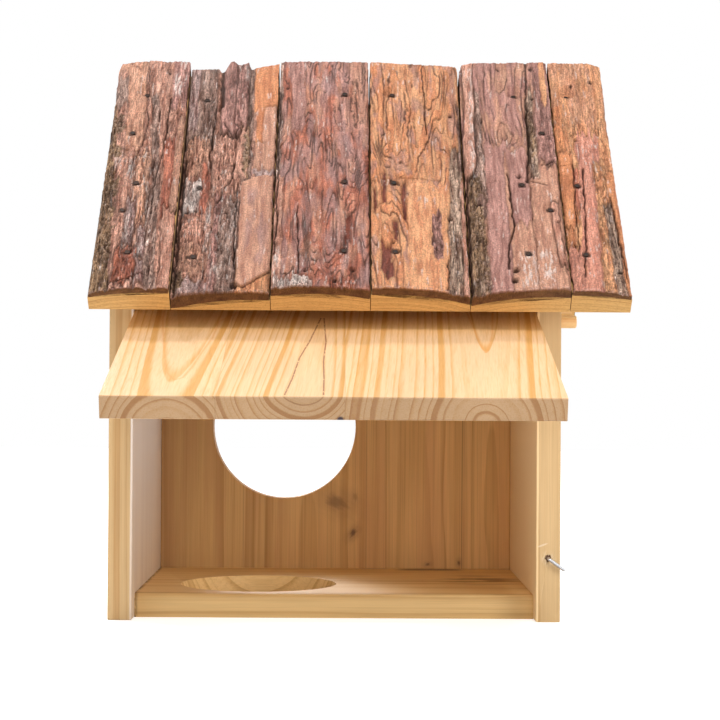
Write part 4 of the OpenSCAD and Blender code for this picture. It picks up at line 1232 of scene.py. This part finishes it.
# Bark material: the stains of the layers with fine fibres, cracks painted dark as shade, waxy glints and
# crumbly moss
bark_material, tree, shader = new_material("log_bark")
place = add_node(tree, "Attribute", attribute_name="bark_place").outputs["Vector"]
layer = add_node(tree, "Attribute", attribute_name="bark_stain").outputs["Color"]
marks = add_node(tree, "Attribute", attribute_name="bark_marks").outputs["Color"]
marks = add_node(tree, "SeparateColor", {0: marks})
coarse_look = add_node(tree, "Attribute", attribute_name="bark_coarse").outputs["Fac"]
fibres = noise(tree, place, (1.7, 0.10, 1.7), 5.0, 0.66)
specks = noise(tree, place, (1.2, 0.85, 1.2), 5.0, 0.70)
threads = noise(tree, place, (0.75, 0.035, 0.75), 5.0, 0.62)
fibrous = blend(tree, 1.0, layer, spread(tree, fibres, 0.28, 0.72, 0.38, 1.58), "MULTIPLY")
colour = blend(tree, coarse_look, layer, fibrous)
colour = blend(tree, 1.0, colour, spread(tree, specks, 0.3, 0.7, 0.58, 1.50), "MULTIPLY")
# Thin grooves between the fibres, bumped in and painted dark as shade.
thread = times(tree, ramp(tree, apart(tree, threads, 0.5), 0.016, 0.004), coarse_look)
crumb = times(tree, ramp(tree, specks, 0.58, 0.68), marks.outputs["Blue"])
colour = blend(tree, crumb, colour, (0.74, 0.58, 0.43, 1.0))
# Painted shade: cracks, pits, furrows, plate edges, nail hollows and fibre grooves go near black; the swirls'
# own contour lines go dark with them.
shade_and_dark_lines = math_node(tree, "MAXIMUM", times(tree, marks.outputs["Red"], 0.93),
                 times(tree, thread, 0.7))
colour = blend(tree, shade_and_dark_lines, colour, (0.038, 0.014, 0.008, 1.0))
tree.links.new(colour, shader.inputs["Base Color"])
gloss = times(tree, marks.outputs["Green"], ramp(tree, fibres, 0.35, 0.6))
tree.links.new(spread(tree, gloss, 0.0, 1.0, 0.52, 0.22), shader.inputs["Roughness"])
tree.links.new(spread(tree, gloss, 0.0, 1.0, 0.18, 0.8), shader.inputs["Specular IOR Level"])
relief = math_node(tree, "MULTIPLY_ADD", specks, 0.7, fibres)
relief = math_node(tree, "MULTIPLY_ADD", thread, -0.5, relief)
bump = add_node(tree, "Bump", {"Height": relief, "Distance": 0.0015, "Strength": 1.0})
tree.links.new(bump.outputs[0], shader.inputs["Normal"])

nail_spots = {}
for side, word in ((1, "front"), (-1, "rear")):
    x, up, out = slope_coordinates(frame["nodes"][f"{word}_roof_nails"].data, side)
    nail_spots[word] = sorted({(round(float(a), 0), round(float(b), 0)) for a, b in zip(x, up)})


def add_field(mesh, name, kind, key, *columns):
    """Stores a value of each vertex that the bark's material reads by name."""
    field = mesh.attributes.new(name, kind, "POINT")
    field.data.foreach_set(key, np.column_stack(columns).ravel())


def bark_piece(word, side, i, paint, base, coarse, step):
    """Bark of one slab: a dense sheet over the wood with walls down to it, carved by its marks."""
    node = f"{word}_bark_{i}"
    top_x, top_out = end_line(node, side, True)
    low_x, low_out = end_line(node, side, False)
    swell = np.polyfit(top_x, top_out, 2)
    left, right = top_x[0], top_x[-1]
    columns = int((right - left) / step)
    rows = int(SLOPE_LINE / step)
    bm = bmesh.new()
    bmesh.ops.create_grid(bm, x_segments=columns, y_segments=rows, size=0.5)
    edges = [e for e in bm.edges if e.is_boundary]
    for layer in range(BARK_WALLS):
        made = bmesh.ops.extrude_edge_only(bm, edges=edges)["geom"]
        corners = [v for v in made if isinstance(v, bmesh.types.BMVert)]
        bmesh.ops.translate(bm, vec=(0, 0, -1 / BARK_WALLS), verts=corners)
        edges = [e for e in made if isinstance(e, bmesh.types.BMEdge) and e.is_boundary]
    bmesh.ops.triangle_fill(bm, edges=edges, use_beauty=False, use_dissolve=False)
    bmesh.ops.recalc_face_normals(bm, faces=bm.faces)
    mesh = bpy.data.meshes.new(node + "_carved")
    bm.to_mesh(mesh)
    bm.free()
    unit = np.empty(len(mesh.vertices) * 3)
    mesh.vertices.foreach_get("co", unit)
    u, v, down = unit.reshape(-1, 3).T
    u, v, down = u + 0.5, v + 0.5, -down
    s = v * SLOPE
    inset_left = 0.25 + 0.9 * np.abs(rough(s / 14, s * 0 + i, 3 * i, 3))
    inset_right = 0.25 + 0.9 * np.abs(rough(s / 14, s * 0 + i + 40, 5 * i, 3))
    x = left + inset_left + u * (right - left - inset_left - inset_right)
    wood_out = np.interp(x, low_x, low_out)
    mean_out = np.polyval(swell, x)
    s = v * (SLOPE + mean_out * math.tan(PITCH))
    sheet = new_sheet(x, s, i + 10 * (side < 0), base, coarse)
    paint(sheet)
    peel(sheet, 6.0, 34.0, 0.05, 0.55, 81)
    peel(sheet, 3.0, 15.0, 0.30, 0.40, 83)
    peel(sheet, 9.0, 60.0, -0.20, 0.60, 85)
    # Painted highlights on the fibres' ridges: a pale colour, more gloss and a little lift.
    ridges = rough(sheet["wx"] / 1.7, s / 15, 450 + i, 3, 0.5) + 0.35 * rough(x / 14, s / 30, 460 + i, 2)
    glint = eased(ridges, 0.64, 0.94) * (1 - sheet["tuft"]) * (1 - sheet["dark"])
    sheet["stain"] = over(sheet["stain"], 0.7 * glint, stain(sheet, "pale", 470))
    sheet["gloss"] = np.maximum(sheet["gloss"], 0.8 * glint)
    sheet["lift"] = sheet["lift"] + 0.2 * glint
    fibres = rough(sheet["wx"] / 1.25, s / 20, 500 + i, 3, 0.6)
    chips = rough(sheet["wx"] / 2.6, s / 4.5, 600 + i, 3, 0.6)
    # Furrows along the fibres: grooves painted dark as shade.
    furrow = np.exp(-(rough(sheet["wx"] / 3.2, s / 36, 650 + i, 3, 0.55) / 0.075) ** 2)
    furrow = furrow * np.clip(sheet["coarse"] * 2.0, 0.1, 1.0)
    sheet["dark"] = np.maximum(sheet["dark"], 0.75 * furrow)
    lift = sheet["lift"] + sheet["coarse"] * (0.85 * fibres + 0.5 * chips) - 0.6 * furrow
    border = np.minimum(x - left, right - x)
    lift = lift - 0.9 * eased(border, 1.8, 0.2)
    top = mean_out + lift
    dip = np.interp(x, ridge_x, ridge_dip)
    crest_out = RIDGE_OUT - dip * math.cos(PITCH) - (1.3 if side < 0 else 0.0)
    to_ridge = eased(s, SLOPE - 42, SLOPE) * 0.92
    top = over(top, to_ridge, crest_out + 0.35 * np.clip(lift, -1, 1))
    ceiling = RIDGE_OUT + 1.5 * eased(s, SLOPE, SLOPE - 30)
    top = np.minimum(top, np.minimum(mean_out + 2.2 + 3.5 * to_ridge, ceiling))
    for nail_x, nail_s in nail_spots[word]:
        if left < nail_x < right:
            away = np.hypot(x - nail_x, s - nail_s)
            head = np.polyval(swell, nail_x) - NAIL_SINK
            top = np.maximum(top, over(top, 1 - eased(away, 2.0, 6.0), head + 0.4))
            top = np.minimum(top, over(top, 1 - eased(away, 1.6, 4.5), head + 1.3))
            # The hollow round each nail head is sunk and painted dark as shade.
            hollow = 1 - eased(away, NAIL_ROOM - 0.4, NAIL_ROOM)
            top = over(top, hollow, head - 0.3)
            sheet["dark"] = np.maximum(sheet["dark"], 0.85 * hollow)
    top = np.maximum(top, wood_out + 0.35)
    out = top + (wood_out - top) * down
    ragged = 0.7 * np.abs(rough(x / 2.2, x * 0 + i, 700 + i, 3)) * (1 - down)
    crest = 0.35 + 1.0 * np.abs(rough(x / 5, x * 0 + i, 800 + i, 3)) * (1 - down)
    s = ragged * (1 - v) + v * (SLOPE + out * math.tan(PITCH) - crest)
    side_skin = down > 0.02
    layers = 0.5 + 0.5 * rough(x / 9, out / 1.1, 900 + i, 3)
    bare = np.outer(1 - layers, (0.30, 0.135, 0.050)) + np.outer(layers, (0.115, 0.045, 0.018))
    # Painted shade: the side walls, past the sawn eave end, are darker, as in the gaps between slabs.
    bare = bare * np.where(s > 2.5, 0.42, 1.0)[:, None]
    sheet["stain"] = over(sheet["stain"], side_skin, bare)
    sheet["dark"] = np.where(side_skin, 0.0, sheet["dark"])
    sheet["gloss"] = np.where(side_skin, 0.0, sheet["gloss"])
    torn = (1 - eased(s, 0.8, 3.0)) * (down < 0.02) * eased(rough(x / 1.6, s / 3, 950 + i, 2), -0.3, 0.5)
    sheet["stain"] = over(sheet["stain"], 0.65 * torn, np.array((0.66, 0.40, 0.33)))
    y = np.maximum(EAVE_Y + s * math.cos(PITCH) - out * math.sin(PITCH), -cad_box[1].y / MM)
    z = EAVE_Z + s * math.sin(PITCH) + out * math.cos(PITCH)
    mesh.vertices.foreach_set("co", (np.column_stack((x, side * y, z)) * MM).ravel())
    if side < 0:
        mesh.flip_normals()
    solid = np.ones(len(x))
    coarse_look = np.clip(np.where(side_skin, 0.3, sheet["coarse"]) * 1.8, 0.15, 1.0)
    add_field(mesh, "bark_place", "FLOAT_VECTOR", "vector", x + 400 * i, s, out)
    add_field(mesh, "bark_stain", "FLOAT_COLOR", "color", sheet["stain"], solid)
    add_field(mesh, "bark_marks", "FLOAT_COLOR", "color", sheet["dark"], sheet["gloss"], sheet["tuft"], solid)
    add_field(mesh, "bark_coarse", "FLOAT", "value", coarse_look)
    mesh.update()
    mesh.shade_smooth()
    mesh.set_sharp_from_angle(angle=math.radians(62))
    mesh.materials.append(bark_material)
    bark = bpy.data.objects.new(node + "_carved", mesh)
    scene.collection.objects.link(bark)
    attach(bark, "house")
    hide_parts(node)


# The marks of each front slab, and the base colour of the front and of the rear one
BARKS = ((bark_1, "pink", "pink"), (bark_2, "pink", "red"), (bark_3, "red", "amber"),
         (bark_4, "amber", "tan"), (bark_5, "tan", "pink"), (bark_6, "amber", "amber"))
for i, (paint, front_base, rear_base) in zip(SLABS, BARKS):
    bark_piece("front", 1, i, paint, front_base, 0.3, FRONT_STEP)
    bark_piece("rear", -1, i, rear_bark, rear_base, 0.35, REAR_STEP)
